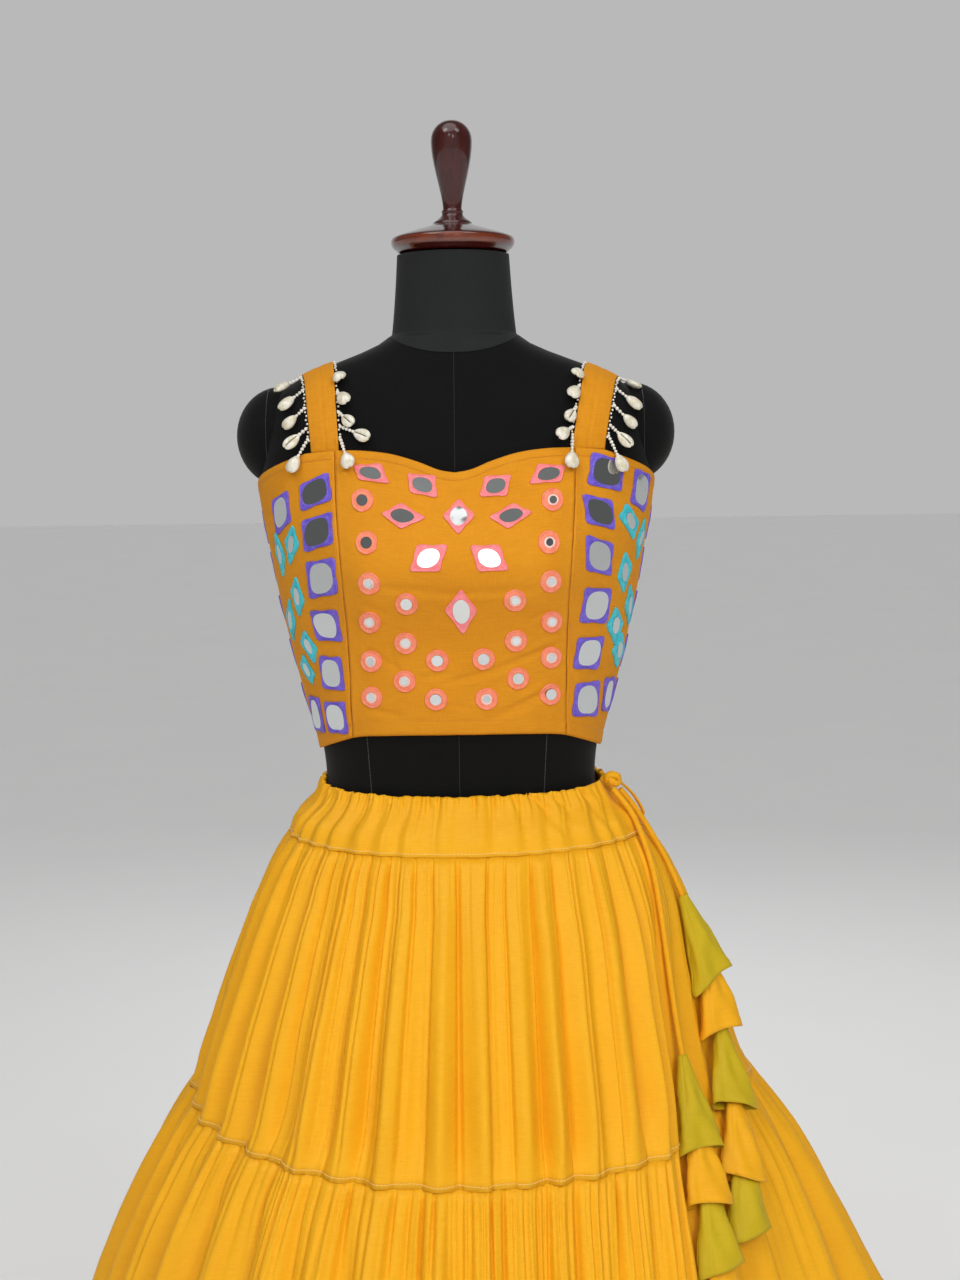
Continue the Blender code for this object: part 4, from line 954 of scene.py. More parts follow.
@dataclass(frozen=True)
class Studio:
    """The camera, the lights and the floor."""

    camera_place: Point = (0.0195, -1.6, 1.356)
    pitch: float = math.radians(6.4)
    roll: float = math.radians(0.8)
    focal_pixels: float = 1739.0
    photo_height: float = 1280.0
    sensor: float = 36.0
    clip: tuple[float, float] = (0.05, 100.0)
    floor_half: float = 30.0
    # The room behind the camera, to the sides and behind the object
    room_front: str = "#8F9191"
    room_side: str = "#5C5C5C"
    room_back: str = "#B9B9B9"
    # How far ahead or behind, as a cosine, the sides start and stop to give way
    room_blend: tuple[float, float] = (0.6, 0.85)
    # Two large panels light the cap and the shells, and two small ones the photo's bright mirrors
    panels: tuple[GlowPanel, ...] = (
        GlowPanel((-0.45, -0.45, 0.77), 0.978, 0.987), GlowPanel((0.45, -0.47, 0.76), 0.98, 0.99),
        GlowPanel((-0.179, -0.882, 0.436), 0.9962, 0.998), GlowPanel((0.165, -0.922, 0.349), 0.995, 0.9972))
    panel_glow: float = 2.4
    lights: tuple[Softbox, ...] = (
        Softbox("softbox_left", (-0.95, -2.3, 2.6), (0.0, 0.0, 1.1), (0.9, 0.9), 14.5),
        Softbox("softbox_right", (1.15, -2.3, 2.5), (0.0, 0.0, 1.1), (0.9, 0.9), 27.0),
        Softbox("softbox_back", (0.3, 2.9, 2.7), (0.0, 0.0, 0.9), (1.6, 1.2), 26.0),
        Softbox("softbox_front", (0.1, -3.1, 2.25), (0.0, 0.0, 1.2), (1.3, 0.5), 11.0),
    )
    sun_power: float = 0.8
    sun_spread: float = math.radians(60)
    sun_aim: Point = (0.15, 0.3, -1.0)

    def build_camera(self) -> None:
        """Makes the camera at the photo's place."""
        data = bpy.data.cameras.new("camera")
        data.sensor_width = self.sensor
        data.lens = self.focal_pixels / self.photo_height * self.sensor
        data.clip_start, data.clip_end = self.clip
        forward = Vector((0, math.cos(self.pitch), -math.sin(self.pitch)))
        level_up = Vector((1, 0, 0)).cross(forward)
        right = math.cos(self.roll) * Vector((1, 0, 0)) - math.sin(self.roll) * level_up
        up = math.cos(self.roll) * level_up + math.sin(self.roll) * Vector((1, 0, 0))
        made = bpy.data.objects.new("camera", data)
        turn = Matrix((right, up, -forward)).transposed().to_4x4()
        made.matrix_world = Matrix.Translation(self.camera_place) @ turn
        bpy.context.scene.collection.objects.link(made)
        bpy.context.scene.camera = made

    def build_light(self) -> None:
        """Makes the lights, the even surroundings and the floor."""
        for light in self.lights:
            light.build()
        data = bpy.data.lights.new("ceiling_glow", "SUN")
        data.energy, data.angle = self.sun_power, self.sun_spread
        glow = bpy.data.objects.new("ceiling_glow", data)
        glow.rotation_euler = Vector(self.sun_aim).to_track_quat("-Z", "Y").to_euler()
        bpy.context.scene.collection.objects.link(glow)
        world = bpy.data.worlds.new("pale_room")
        world.use_nodes = True
        tree = world.node_tree
        tree.nodes.clear()
        way = add_node(tree, "ShaderNodeTexCoord").outputs["Generated"]
        depth = add_node(tree, "ShaderNodeSeparateXYZ", {0: way}).outputs[1]
        start, full = self.room_blend
        ahead = add_node(tree, "ShaderNodeMapRange", {0: depth, 1: -start, 2: -full}).outputs[0]
        behind = add_node(tree, "ShaderNodeMapRange", {0: depth, 1: start, 2: full}).outputs[0]
        colour = Finish.mixed(tree, ahead, self.room_side, self.room_front)
        colour = add_node(tree, "ShaderNodeMix", {0: behind, 6: colour, 7: linear(self.room_back)},
                          data_type="RGBA").outputs[2]
        for panel in self.panels:
            near = add_node(tree, "ShaderNodeVectorMath", {0: way, 1: Vector(panel.way).normalized()},
                            operation="DOT_PRODUCT").outputs["Value"]
            lit = add_node(tree, "ShaderNodeMapRange", {0: near, 1: panel.rim, 2: panel.full}).outputs[0]
            colour = add_node(tree, "ShaderNodeMix", {0: lit, 6: colour, 7: (*[self.panel_glow] * 3, 1)},
                              data_type="RGBA").outputs[2]
        room = add_node(tree, "ShaderNodeBackground", {0: colour, 1: 1.0})
        add_node(tree, "ShaderNodeOutputWorld", {0: room.outputs[0]})
        bpy.context.scene.world = world
        bpy.context.scene.view_settings.view_transform = "Standard"
        shape = bmesh.new()
        bmesh.ops.create_grid(shape, x_segments=1, y_segments=1, size=self.floor_half)
        mesh = bpy.data.meshes.new("floor")
        shape.to_mesh(mesh)
        shape.free()
        mesh.materials.append(PAPER.made())
        floor = bpy.data.objects.new("floor", mesh)
        bpy.context.scene.collection.objects.link(floor)


# Dress form


@dataclass
class DressForm:
    """The limbless form: jersey skin, arm caps, neck, turned cap and the jersey's seams. The steel stand
    stays as its CAD nodes.
    """

    body: Body
    low: float = 0.86
    high: float = 1.454
    columns: int = 120
    rows: int = 84
    arm_centre: Point = (0.16, 0.004, 1.366)
    arm_radii: Point = (0.04, 0.048, 0.045)
    arm_seam: float = 0.0085
    # Height, half width, half depth
    neck_rings: Rows = (
        (1.4543, 0.0562, 0.0545), (1.47, 0.0545, 0.0533), (1.495, 0.0523, 0.0514), (1.5264, 0.0502, 0.05),
    )
    neck_side_edge: float = 1.4532
    neck_front_edge: float = 1.437
    neck_edge_reach: float = 0.0585
    neck_cover: float = 0.0009
    # Turned cap, top to bottom: radius, height
    cap_profile: Rows = (
        (0.0, 1.6455), (0.007, 1.6448), (0.0135, 1.641), (0.018, 1.634), (0.019, 1.627), (0.0178, 1.613),
        (0.014, 1.596), (0.0098, 1.579), (0.0084, 1.569), (0.0086, 1.5665), (0.0099, 1.5655),
        (0.0099, 1.564), (0.009, 1.5628), (0.011, 1.56), (0.0155, 1.5568), (0.0176, 1.5555), (0.018, 1.554),
        (0.019, 1.553), (0.026, 1.551), (0.04, 1.547), (0.053, 1.5427), (0.0555, 1.5412), (0.0562, 1.5385),
        (0.0558, 1.535), (0.053, 1.5315), (0.05, 1.53), (0.05, 1.5267), (0.0, 1.5267),
    )
    cap_steps: int = 72
    # Across, lower end, upper end
    upright_seams: Rows = ((-0.078, 0.98, 1.12), (0.0, 0.98, 1.437), (0.074, 0.98, 1.12))

    def build(self) -> None:
        """Makes every piece of the form."""
        self.torso()
        self.neck()
        self.cap()
        self.seams()

    def torso(self) -> None:
        """The torso's jersey skin with its two arm caps."""
        shape = Shape("form_torso_jersey")
        shape.grid(self.columns, self.rows, lambda u, v: self.body.point(
            (u * 2 - 1) * math.pi, self.low + v * (self.high - self.low)))
        shape.weld()
        bmesh.ops.holes_fill(shape.mesh, edges=shape.mesh.edges, sides=0)
        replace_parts(shape.piece(JERSEY), "form_torso")
        for side, word in ((-1, "left"), (1, "right")):
            cap = Shape("form_arm_cap_" + word)
            x, y, z = self.arm_centre
            cap.ball(np.array([side * x, y, z]), np.diag(self.arm_radii), 40, 24)
            cap.piece(JERSEY)

    def neck_radii(self, height: Array) -> list[Array]:
        """Half width, front depth and back depth of the neck's cover."""
        torso = self.body.radii(np.minimum(height, self.high), self.neck_cover)
        column = [table_curve(self.neck_rings, k, height) + 0.0004 for k in (1, 2, 2)]
        share = softened(height, 1.452, 1.4565)
        return [a * (1 - share) + b * share for a, b in zip(torso, column)]

    def neck_edge(self, angle: Array) -> Array:
        """Height of the neck jersey's lower edge, which dips in front."""
        height = np.full_like(angle, self.neck_side_edge)
        for _ in range(30):
            aside = np.minimum(1, np.abs(self.body.point(angle, height)[:, 0]) / self.neck_edge_reach)
            wanted = self.neck_front_edge + (self.neck_side_edge - self.neck_front_edge) * aside**2.4
            height = (height + wanted) / 2
        return height

    def neck(self) -> None:
        """The neck's charcoal jersey, whose lower edge dips in front."""
        top = self.neck_rings[-1][0]

        def place(u: Array, v: Array) -> Array:
            """Points of the neck's cover."""
            angle = (u * 2 - 1) * math.pi
            low = self.neck_edge(angle)
            height = low + v**1.5 * (top - low)
            half, ahead, behind = self.neck_radii(height)
            share = softened(height, 1.445, 1.47)
            bend = (2 / self.body.squareness) * (1 - share) + share
            side, forward = signed_power(np.sin(angle), bend), signed_power(np.cos(angle), bend)
            return np.stack([half * side, -np.where(forward >= 0, ahead, behind) * forward, height], axis=-1)

        shape = Shape("form_neck_jersey")
        shape.grid(96, 40, place)
        shape.weld()
        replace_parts(shape.piece(NECK_JERSEY, Facing.FROM_AXIS, wall=0.0008), "form_neck")

    def cap(self) -> None:
        """The turned and lacquered cap."""
        shape = Shape("form_cap_turned")
        verts = [shape.mesh.verts.new((radius, 0, height)) for radius, height in self.cap_profile]
        edges = [shape.mesh.edges.new(pair) for pair in zip(verts, verts[1:])]
        bmesh.ops.spin(shape.mesh, geom=[*verts, *edges], cent=(0, 0, 0), axis=(0, 0, 1), dvec=(0, 0, 0),
                       angle=2 * math.pi, steps=self.cap_steps, use_merge=True, use_duplicate=False)
        bmesh.ops.remove_doubles(shape.mesh, verts=shape.mesh.verts, dist=1e-5)
        made = shape.piece(MAHOGANY)
        smooth = made.modifiers.new("turning", "SUBSURF")
        smooth.levels = smooth.render_levels = 1
        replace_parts(made, "form_cap")

    def seams(self) -> None:
        """The jersey's own seams: round each arm cap, down the centre front and down the waist's darts."""
        shape = Shape("form_seams")
        turns = np.linspace(0, 2 * math.pi, 61)
        share = math.sqrt(1 - (self.arm_seam / self.arm_radii[0]) ** 2)
        for side in (-1, 1):
            x = side * (self.arm_centre[0] + self.arm_seam)
            ring = np.stack([np.full(61, x), self.arm_centre[1] + self.arm_radii[1] * share * np.cos(turns),
                             self.arm_centre[2] + self.arm_radii[2] * share * np.sin(turns)], axis=1)
            out = ring - np.array(self.arm_centre) * (side, 1, 1)
            self.sewn(shape, ring, out)
        for across, low, high in self.upright_seams:
            heights = np.linspace(low, high, 160)
            half = self.body.radii(heights, 0.0)[0]
            spread = np.interp(heights, (1.04, 1.25, 1.36), (1.0, 1.15, 1.15)) if across else 1.0
            angle = np.arcsin(np.clip(signed_power(across * spread / half, self.body.squareness / 2), -1, 1))
            way = self.body.point(angle, heights, 0.0002)
            self.sewn(shape, way, way * (1, 1, 0))
        shape.piece(DARK_THREAD)

    @staticmethod
    def sewn(shape: Shape, way: Array, out: Array) -> None:
        """A fine raised seam as one long row of stitches."""
        shape.stitches(way, unit(out), JERSEY_SEAM)


# Choli


@dataclass(frozen=True)
class Panel:
    """One panel: its side, its inner, outer, lower and upper edge, and its mesh."""

    name: str
    sign: int
    inner: Curve
    outer: Curve
    low: Curve
    high: Curve
    columns: int
    rows: int
    # The cut's width and length, and how much of that box the cloth fills
    cut: tuple[float, float]
    share: float

    @property
    def area(self) -> float:
        """The cloth's flat area."""
        return self.share * self.cut[0] * self.cut[1]

    def across(self, u: Array, height: Array) -> Array:
        """Distance from the centre front, a share of the way from the inner to the outer edge."""
        return self.sign * (self.inner(height) * (1 - u) + self.outer(height) * u)


@dataclass
class Choli:
    """The five panels of the choli, their relief and their stitching."""

    body: Body
    princess_rows: Rows = ((1.078, 0.099), (1.2, 0.0985), (1.27, 0.104), (1.353, 0.105))
    neckline_rows: Rows = (
        (0.0, 1.333), (0.012, 1.335), (0.03, 1.342), (0.053, 1.349), (0.08, 1.3525), (0.105, 1.353),
    )
    hem_rows: Rows = (
        (0.0, 1.1055), (0.06, 1.104), (0.095, 1.1005), (0.12, 1.093), (0.16, 1.082), (0.24, 1.079),
        (0.4, 1.078), (0.47, 1.078),
    )
    # Top edge: height at the side seam, across and height where a strap sits, and the back's height and the
    # way that it takes to rise to it
    side_top: float = 1.314
    seat: tuple[float, float] = (0.134, 1.3505)
    back_top: float = 1.325
    back_turn: float = 0.045
    side_angle: float = math.radians(101)
    gap: float = 0.0003
    cloth: float = 0.0014
    # Stitching: its distance from a seam, below a top edge and above the hem, and short of a row's ends
    seam_stitch: float = 0.0022
    top_stitch: float = 0.0068
    hem_stitch: float = 0.013
    short: float = 0.002
    # Where the rows beside the princess seams and the side seams start and end
    princess_stitched: tuple[float, float] = (1.108, 1.35)
    side_stitched: tuple[float, float] = (1.083, 1.31)
    # Relief beside the seams, at the stitching above the hem and below a top edge, and at a folded edge
    seam_ridges: tuple[Ridge, ...] = (Ridge(-0.001, 0.0, 0.0011), Ridge(0.0004, 0.0035, 0.0018))
    hem_ridge: Ridge = Ridge(-0.0005, 0.013, 0.0011)
    top_ridge: Ridge = Ridge(-0.0004, 0.0068, 0.001)
    edge_ridge: Ridge = Ridge(-0.0007, 0.0, 0.0012)
    # Puckers beside a seam, how far they reach and where they start, and waves above the hem
    pucker: Waver = Waver(0.00045, 0.4, 0.0062, 5)
    pucker_reach: float = 0.011
    pucker_start: float = 0.0015
    hem_waver: Waver = Waver(0.0005, 0.3, 0.019, 8)
    hem_reach: float = 0.022
    # Soft unevenness all over, each broken up by a ripple across with its pitch and seed
    wavers: tuple[tuple[Waver, float, int], ...] = (
        (Waver(0.00035, 0.35, 0.016, 21), 0.028, 22), (Waver(0.0003, -0.6, 0.011, 23), 0.02, 24))
    # Creases in millimetres: across and height of both ends, width, and depth, which is under 0 where one
    # stands out. First those under the bust, then the drag lines at the lower right, then the rest
    creases: Rows = (
        (-90, 1238, -12, 1234, 3.2, 1.2), (-30, 1230, 80, 1235, 3.4, 1), (-50, 1225.5, 60, 1227, 3, -0.6),
        (92, 1186, 34, 1164, 2.6, 1.8), (94, 1191, 50, 1174, 3, -0.9), (40, 1166, -16, 1150, 2.6, 1.5),
        (46, 1160, 0, 1148, 3, -0.8), (92, 1146, 34, 1124, 2.8, 1.8), (80, 1150, 50, 1135, 3, -0.9),
        (70, 1130, 20, 1119, 2.6, 1.1), (78, 1215, 60, 1205, 2.8, 1), (-85, 1185, -48, 1162, 2.6, 1.3),
        (-60, 1190, -52, 1160, 2.4, 1), (-88, 1130, -45, 1121, 2.8, 1.3), (-36, 1156, -10, 1160, 2.4, 1),
        (-86, 1223, -60, 1215, 2.6, 1), (-10, 1133, 14, 1129, 2.6, 0.9), (-20, 1320, -30, 1285, 6, 0.5),
        (24, 1320, 30, 1285, 6, 0.5), (110, 1218, 150, 1212, 3, 1.2), (-110, 1202, -150, 1210, 3, 1.2),
        (-120, 1138, -180, 1150, 3.2, 1.2), (120, 1152, 180, 1160, 3.2, 1.2),
    )

    def princess(self, height: Array) -> Array:
        """Distance from the centre front to the princess seam."""
        return table_curve(self.princess_rows, 1, height)

    def hem(self, across: Array) -> Array:
        """Height of the hem."""
        return table_curve(self.hem_rows, 1, np.abs(across))

    def neckline(self, across: Array) -> Array:
        """Height of the centre front's top edge."""
        return table_curve(self.neckline_rows, 1, np.abs(across))

    def side_seam(self, height: Array) -> Array:
        """Distance from the centre front to the side seam."""
        return self.body.seam_across(height, self.side_angle)

    def centre_back(self, height: Array) -> Array:
        """Distance from the centre front to the centre back."""
        return self.body.seam_across(height, math.pi - 0.0001)

    def side_high(self, across: Array) -> Array:
        """Height of a side front's top edge."""
        end = float(self.side_seam(np.array(self.side_top)))
        return np.interp(np.abs(across), (0.105, self.seat[0], end), (1.353, self.seat[1], self.side_top))

    def back_high(self, across: Array) -> Array:
        """Height of a back's top edge."""
        start = float(self.side_seam(np.array(self.side_top)))
        return np.interp(np.abs(across), (start, start + self.back_turn), (self.side_top, self.back_top))

    def panels(self) -> list[Panel]:
        """The five panels."""
        half = self.gap / 2
        made = [Panel("choli_centre_front", 1,
                      lambda z: half - self.princess(z), lambda z: self.princess(z) - half,
                      self.hem, self.neckline, 112, 124, (0.23, 0.28), 0.82)]
        for sign, word in ((1, "right"), (-1, "left")):
            made.append(Panel("choli_side_front_" + word, sign,
                              lambda z: self.princess(z) + half, lambda z: self.side_seam(z) - half,
                              self.hem, self.side_high, 86, 120, (0.15, 0.3), 0.8))
            made.append(Panel("choli_back_" + word, sign,
                              lambda z: self.side_seam(z) + half, lambda z: self.centre_back(z) - half,
                              self.hem, self.back_high, 68, 72, (0.23, 0.27), 0.8))
        return made

    def flat_point(self, panel: Panel, u: Array, v: Array) -> tuple[Array, Array]:
        """Where a share across and up a panel lies on the flat cloth."""
        u = u - 0.6 * np.sin(2 * math.pi * u) / (2 * math.pi)
        height = 1.08 + 0.26 * v
        for _ in range(6):
            across = panel.across(u, height)
            height = panel.low(across) * (1 - v) + panel.high(across) * v
        return across, height

    def relief(self, across: Array, height: Array) -> Array:
        """How far the cloth stands off its plain surface: creases, seams, puckers and soft unevenness."""
        out = np.zeros_like(across)
        for *ends, width, depth in np.array(self.creases) / 1000:
            share, apart = beside_line(across, height, ends)
            out = out - depth * np.clip(1 - np.abs(2 * share - 1) ** 3, 0, 1) * bell(apart, width)
        aside = np.abs(across)
        for seam in (self.princess(height), self.side_seam(height), self.centre_back(height)):
            apart = np.abs(aside - seam)
            for ridge in self.seam_ridges:
                out = out + ridge.at(apart)
            pucker = self.pucker.at(height, apart) * np.sign(across)
            out = out + pucker * bell(apart, self.pucker_reach) * np.minimum(1, apart / self.pucker_start)
        low = height - self.hem(across)
        out = out + self.hem_waver.at(across, height) * bell(low, self.hem_reach) + self.hem_ridge.at(low)
        for waver, pitch, seed in self.wavers:
            out = out + waver.at(height, across) * ripple(across, pitch, seed)
        return out

    def place(self, panel: Panel, u: Array, v: Array) -> Array:
        """Points of a panel's cloth, with its folded edges."""
        across, height = self.flat_point(panel, u, v)
        high = panel.high(across) - height
        fold = self.top_ridge.at(high) + self.edge_ridge.at(high)
        hem = self.edge_ridge.at(height - panel.low(across))
        return self.body.laid(across, height, self.body.wall + self.relief(across, height) + fold + hem)

    def build(self) -> list[Piece]:
        """Makes the panels and their stitching, and returns the panels."""
        made = []
        for panel in self.panels():
            shape = Shape(panel.name + "_cloth")
            shape.grid(panel.columns, panel.rows, partial(self.place, panel), panel.cut)
            piece = shape.piece(COTTON, Facing.FROM_AXIS, wall=self.cloth)
            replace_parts(piece, panel.name)
            made.append(piece)
        self.sew()
        return made

    def sew(self) -> None:
        """Rows of stitches beside the seams, under the top edge and above the hem."""
        shape = Shape("choli_stitching")
        heights = np.linspace(*self.princess_stitched, 150)
        rise = np.linspace(*self.side_stitched, 130)
        corner = float(self.side_seam(np.array(self.side_top)))
        top_end, hem_end = (float(self.centre_back(np.array(height))) - self.short for height in (1.32, 1.08))
        for sign in (-1, 1):
            for aside in (-self.seam_stitch, self.seam_stitch):
                self.row(shape, sign * (self.princess(heights) + aside), heights)
            self.row(shape, sign * (self.side_seam(rise) + self.seam_stitch), rise)
            across = sign * np.linspace(0.107, corner - self.short, 80)
            self.row(shape, across, self.side_high(across) - self.top_stitch)
            across = sign * np.linspace(corner + self.short, top_end, 120)
            self.row(shape, across, self.back_high(across) - self.top_stitch)
            across = sign * np.linspace(0.0, hem_end, 300)
            self.row(shape, across, self.hem(across) + self.hem_stitch)
        across = np.linspace(-0.103, 0.103, 120)
        self.row(shape, across, self.neckline(across) - self.top_stitch)
        shape.piece(THREAD, smooth=False)

    def row(self, shape: Shape, across: Array, height: Array) -> None:
        """One row of stitches through flat points."""
        way = self.body.laid(across, height, self.body.wall + self.relief(across, height) + 0.0001)
        shape.stitches(way, way * (1, 1, 0), CHOLI_STITCH)


class MirrorKind(Enum):
    """The four kinds of framed mirror."""

    DIAMOND = "diamond"
    SQUARE = "square"
    LOZENGE = "lozenge"
    DISC = "disc"


@dataclass(frozen=True)
class FrameStyle:
    """How one kind of framed mirror is worked: its frame's outline, its glass and its rise."""

    finish: SatinFloss
    outer_power: float
    inner_power: float
    glass: float
    rise: float
    segments: int


@dataclass(frozen=True)
class MirrorPatch:
    """One framed mirror on the flat cloth, by its frame's corners, clockwise from the upper left."""

    kind: MirrorKind
    corners: Rows

    def flat(self, x: Array, y: Array) -> tuple[Array, Array]:
        """Where x and y, each from -1 to 1 inside the frame, lie on the flat cloth."""
        shares = ((1 - x) * (1 + y), (1 + x) * (1 + y), (1 + x) * (1 - y), (1 - x) * (1 - y))
        across = sum(share * corner[0] for share, corner in zip(shares, self.corners)) / 4
        height = sum(share * corner[1] for share, corner in zip(shares, self.corners)) / 4
        return across, height

    @property
    def girth(self) -> float:
        """The frame's length all round."""
        corners = np.array(self.corners)
        return float(np.linalg.norm(corners - np.roll(corners, 1, axis=0), axis=1).sum())


@dataclass
class MirrorWork:
    """The framed mirrors of the choli. Its tables are in millimetres across and above the floor."""

    choli: Choli
    # Across and height of each corner, clockwise from the left or the upper left
    diamonds: Rows = (
        (-87.5, 1340.4, -62.3, 1341.9, -54.8, 1324, -82.3, 1327.9),
        (70.8, 1339.5, 95.5, 1337.9, 91.3, 1323.5, 62, 1322.3),
        (-40.2, 1333.2, -16.1, 1330.9, -14.3, 1311.7, -38.3, 1316.4),
        (24.9, 1330.3, 47.8, 1330.5, 43.8, 1312.8, 20.2, 1311.9),
        (-63, 1299.4, -45.8, 1308.6, -23.5, 1295.4, -45.8, 1285.9),
        (27.4, 1295.4, 48.7, 1307, 66.1, 1298.8, 43.7, 1284.7),
        (-11.2, 1297.2, 2.9, 1311.4, 17.1, 1297.3, 2.1, 1280.6),
        (-32.4, 1273.7, -6, 1273.4, -13.1, 1250.4, -38.9, 1250.6),
        (11.6, 1272.5, 36.8, 1272.7, 44.6, 1250.6, 18.1, 1249.9),
        (-10.7, 1217.2, 3.7, 1236.4, 18.1, 1216.7, 4.9, 1193.8),
    )
    squares: Rows = (
        (-140, 1323.6, -109.8, 1335.6, -106.5, 1310.6, -141.9, 1300.3),
        (-142.9, 1292.7, -107.5, 1301.9, -108.8, 1273.3, -147.9, 1264.6),
        (-148.6, 1256.8, -109.1, 1262.6, -105.5, 1230.6, -143.7, 1223.2),
        (-143.7, 1213.2, -107.1, 1216.9, -102, 1187.1, -131.2, 1186.8),
        (-130.3, 1173.5, -104.9, 1173.7, -102.2, 1142.5, -129.2, 1142.6),
        (-130.2, 1131.2, -103.4, 1133.1, -101.8, 1102.9, -128.1, 1101.1),
        (-179.3, 1310, -154.4, 1319.3, -156, 1292, -184.3, 1277.5),
        (-158, 1134, -137, 1133.4, -135, 1100.4, -162, 1098),
        (119.6, 1349.3, 153.7, 1341.2, 152.8, 1313.2, 114.9, 1320.7),
        (109.9, 1313.9, 143.3, 1306.7, 151.6, 1280.3, 117, 1287.5),
        (117.3, 1278.7, 153.6, 1269, 154.3, 1239.9, 119.7, 1246.8),
        (118.2, 1232.4, 154.4, 1229.8, 142.8, 1197.1, 109, 1201.5),
        (107.9, 1188.3, 139.8, 1186.6, 132.7, 1156.6, 102.5, 1159.4),
        (106.2, 1146.9, 136.8, 1146.3, 137.9, 1112, 103.5, 1115.7),
        (168.3, 1334.5, 196, 1327, 193, 1293.8, 166.2, 1303.4),
        (144.7, 1147.6, 169, 1146, 166, 1112, 145.5, 1115.7),
    )
    lozenges: Rows = (
        (-172.8, 1274, -154.9, 1289.9, -153, 1270.8, -172.3, 1252),
        (-196, 1262, -187, 1283, -178, 1262, -187, 1240),
        (-173.1, 1229.4, -164.8, 1244.5, -150, 1221.5, -157.4, 1206.1),
        (-186, 1205, -176, 1224, -165, 1200, -174, 1181),
        (-158, 1183.5, -150.8, 1195.5, -132.4, 1180, -136.3, 1163.8),
        (-166, 1160.6, -156, 1172.7, -139, 1155.3, -145.3, 1143.7),
        (153.3, 1291.9, 160.7, 1304.3, 186.4, 1285.9, 183.4, 1269.3),
        (163, 1238, 172.8, 1262.1, 189, 1246.7, 171.9, 1222.5),
        (142, 1195.6, 159, 1213, 170.9, 1195.6, 156.3, 1175.2),
        (174, 1208.8, 186, 1232, 197, 1212, 188, 1189.9),
        (152, 1171, 168, 1189.4, 185, 1170, 170, 1152.2),
        (190, 1272, 199, 1290, 208, 1270, 199, 1250),
    )
    # Centre of each disc
    discs: Rows = (
        (-79, 1310.6), (-75.2, 1275.1), (-73.8, 1240.5), (-74.9, 1205.9), (-75.5, 1170.7), (-76, 1138.3),
        (83.1, 1308.8), (79.2, 1273.4), (80.7, 1239.9), (81.8, 1203.9), (81.6, 1171.6), (81.3, 1138.6),
        (-41.9, 1222.6), (-44, 1187.5), (-45.7, 1153.5), (49.2, 1224.3), (49.9, 1188.1), (51.5, 1154.5),
        (-17.2, 1172), (-19.1, 1137.4), (22, 1172.7), (24.1, 1137.3),
    )
    disc_half: float = 9.8
    # Squares beside the side seams: their heights, half width, half height and way in from the seam
    rear_heights: tuple[float, ...] = (1284.0, 1245.0, 1205.0, 1165.0, 1124.0)
    rear_half: tuple[float, float] = (12.0, 16.5)
    rear_inset: float = 15.0
    # Discs with a pale ring inside, a painted reflection of the mirror's bevel: their share, and where the
    # ring starts and ends
    bevel_glinted: float = 0.55
    bevel: tuple[float, float] = (0.32, 0.5)
    # Section of a frame from its inner to its outer edge and back underneath: share across, share of the rise
    section: Rows = (
        (0.0, 0.15), (0.05, 0.72), (0.15, 1.0), (0.28, 0.8), (0.52, 0.48), (0.72, 0.58), (0.86, 0.96),
        (0.96, 0.7), (1.0, -0.1), (0.5, -0.35),
    )
    # How far a square's sides bow in, and how much a mirror leans
    pinch: float = 0.05
    tilt: float = 0.05
    # How far a mirror reaches under its frame, as a share of its opening
    under: float = 1.04
    # Height of the mirror's edge on the cloth, its face over that and its thickness
    mirror_rise: float = 0.0012
    mirror_face: float = 0.0003
    mirror_thick: float = 0.0009
    seed: int = 4

    @cached_property
    def styles(self) -> dict[MirrorKind, FrameStyle]:
        """How each kind is worked."""
        return {
            MirrorKind.DIAMOND: FrameStyle(CORAL, 10.0, 2.2, 0.66, 0.0017, 64),
            MirrorKind.SQUARE: FrameStyle(PURPLE, 10.0, 2.6, 0.77, 0.0019, 64),
            MirrorKind.LOZENGE: FrameStyle(TURQUOISE, 9.0, 2.0, 0.56, 0.0018, 64),
            MirrorKind.DISC: FrameStyle(ORANGE, 2.0, 2.0, 0.48, 0.0017, 40),
        }

    def patches(self) -> list[MirrorPatch]:
        """Every framed mirror."""
        made = []
        for kind, table in ((MirrorKind.DIAMOND, self.diamonds), (MirrorKind.SQUARE, self.squares),
                            (MirrorKind.LOZENGE, self.lozenges)):
            made += [self.patch(kind, [row[k:k + 2] for k in range(0, 8, 2)]) for row in table]
        half, tall = self.disc_half, self.disc_half
        made += [self.patch(MirrorKind.DISC, self.box(x, z, half, tall)) for x, z in self.discs]
        for sign in (-1, 1):
            for height in self.rear_heights:
                seam = 1000 * float(self.choli.side_seam(np.array(height / 1000)))
                made.append(self.patch(MirrorKind.SQUARE, self.box(
                    sign * (seam - self.rear_inset), height, *self.rear_half)))
        return made

    @staticmethod
    def box(across: float, height: float, half: float, tall: float) -> list[tuple[float, float]]:
        """The corners of an upright box."""
        return [(across + x * half, height + y * tall) for x, y in ((-1, 1), (1, 1), (1, -1), (-1, -1))]

    @staticmethod
    def patch(kind: MirrorKind, corners: Sequence[Sequence[float]]) -> MirrorPatch:
        """A framed mirror from its corners in millimetres."""
        return MirrorPatch(kind, tuple((x / 1000, z / 1000) for x, z in corners))

    def outline(self, turn: Array, power: float, scale: float) -> tuple[Array, Array]:
        """A closed outline: power 2 is round, and a high one a square with sides that bow in a little."""
        side, up = np.cos(turn), np.sin(turn)
        reach = scale * (np.abs(side) ** power + np.abs(up) ** power) ** (-1 / power)
        bow = self.pinch * np.cos(2 * turn) ** 2 if power > 4 else 0.0
        return side * reach * (1 - bow), up * reach * (1 - bow)

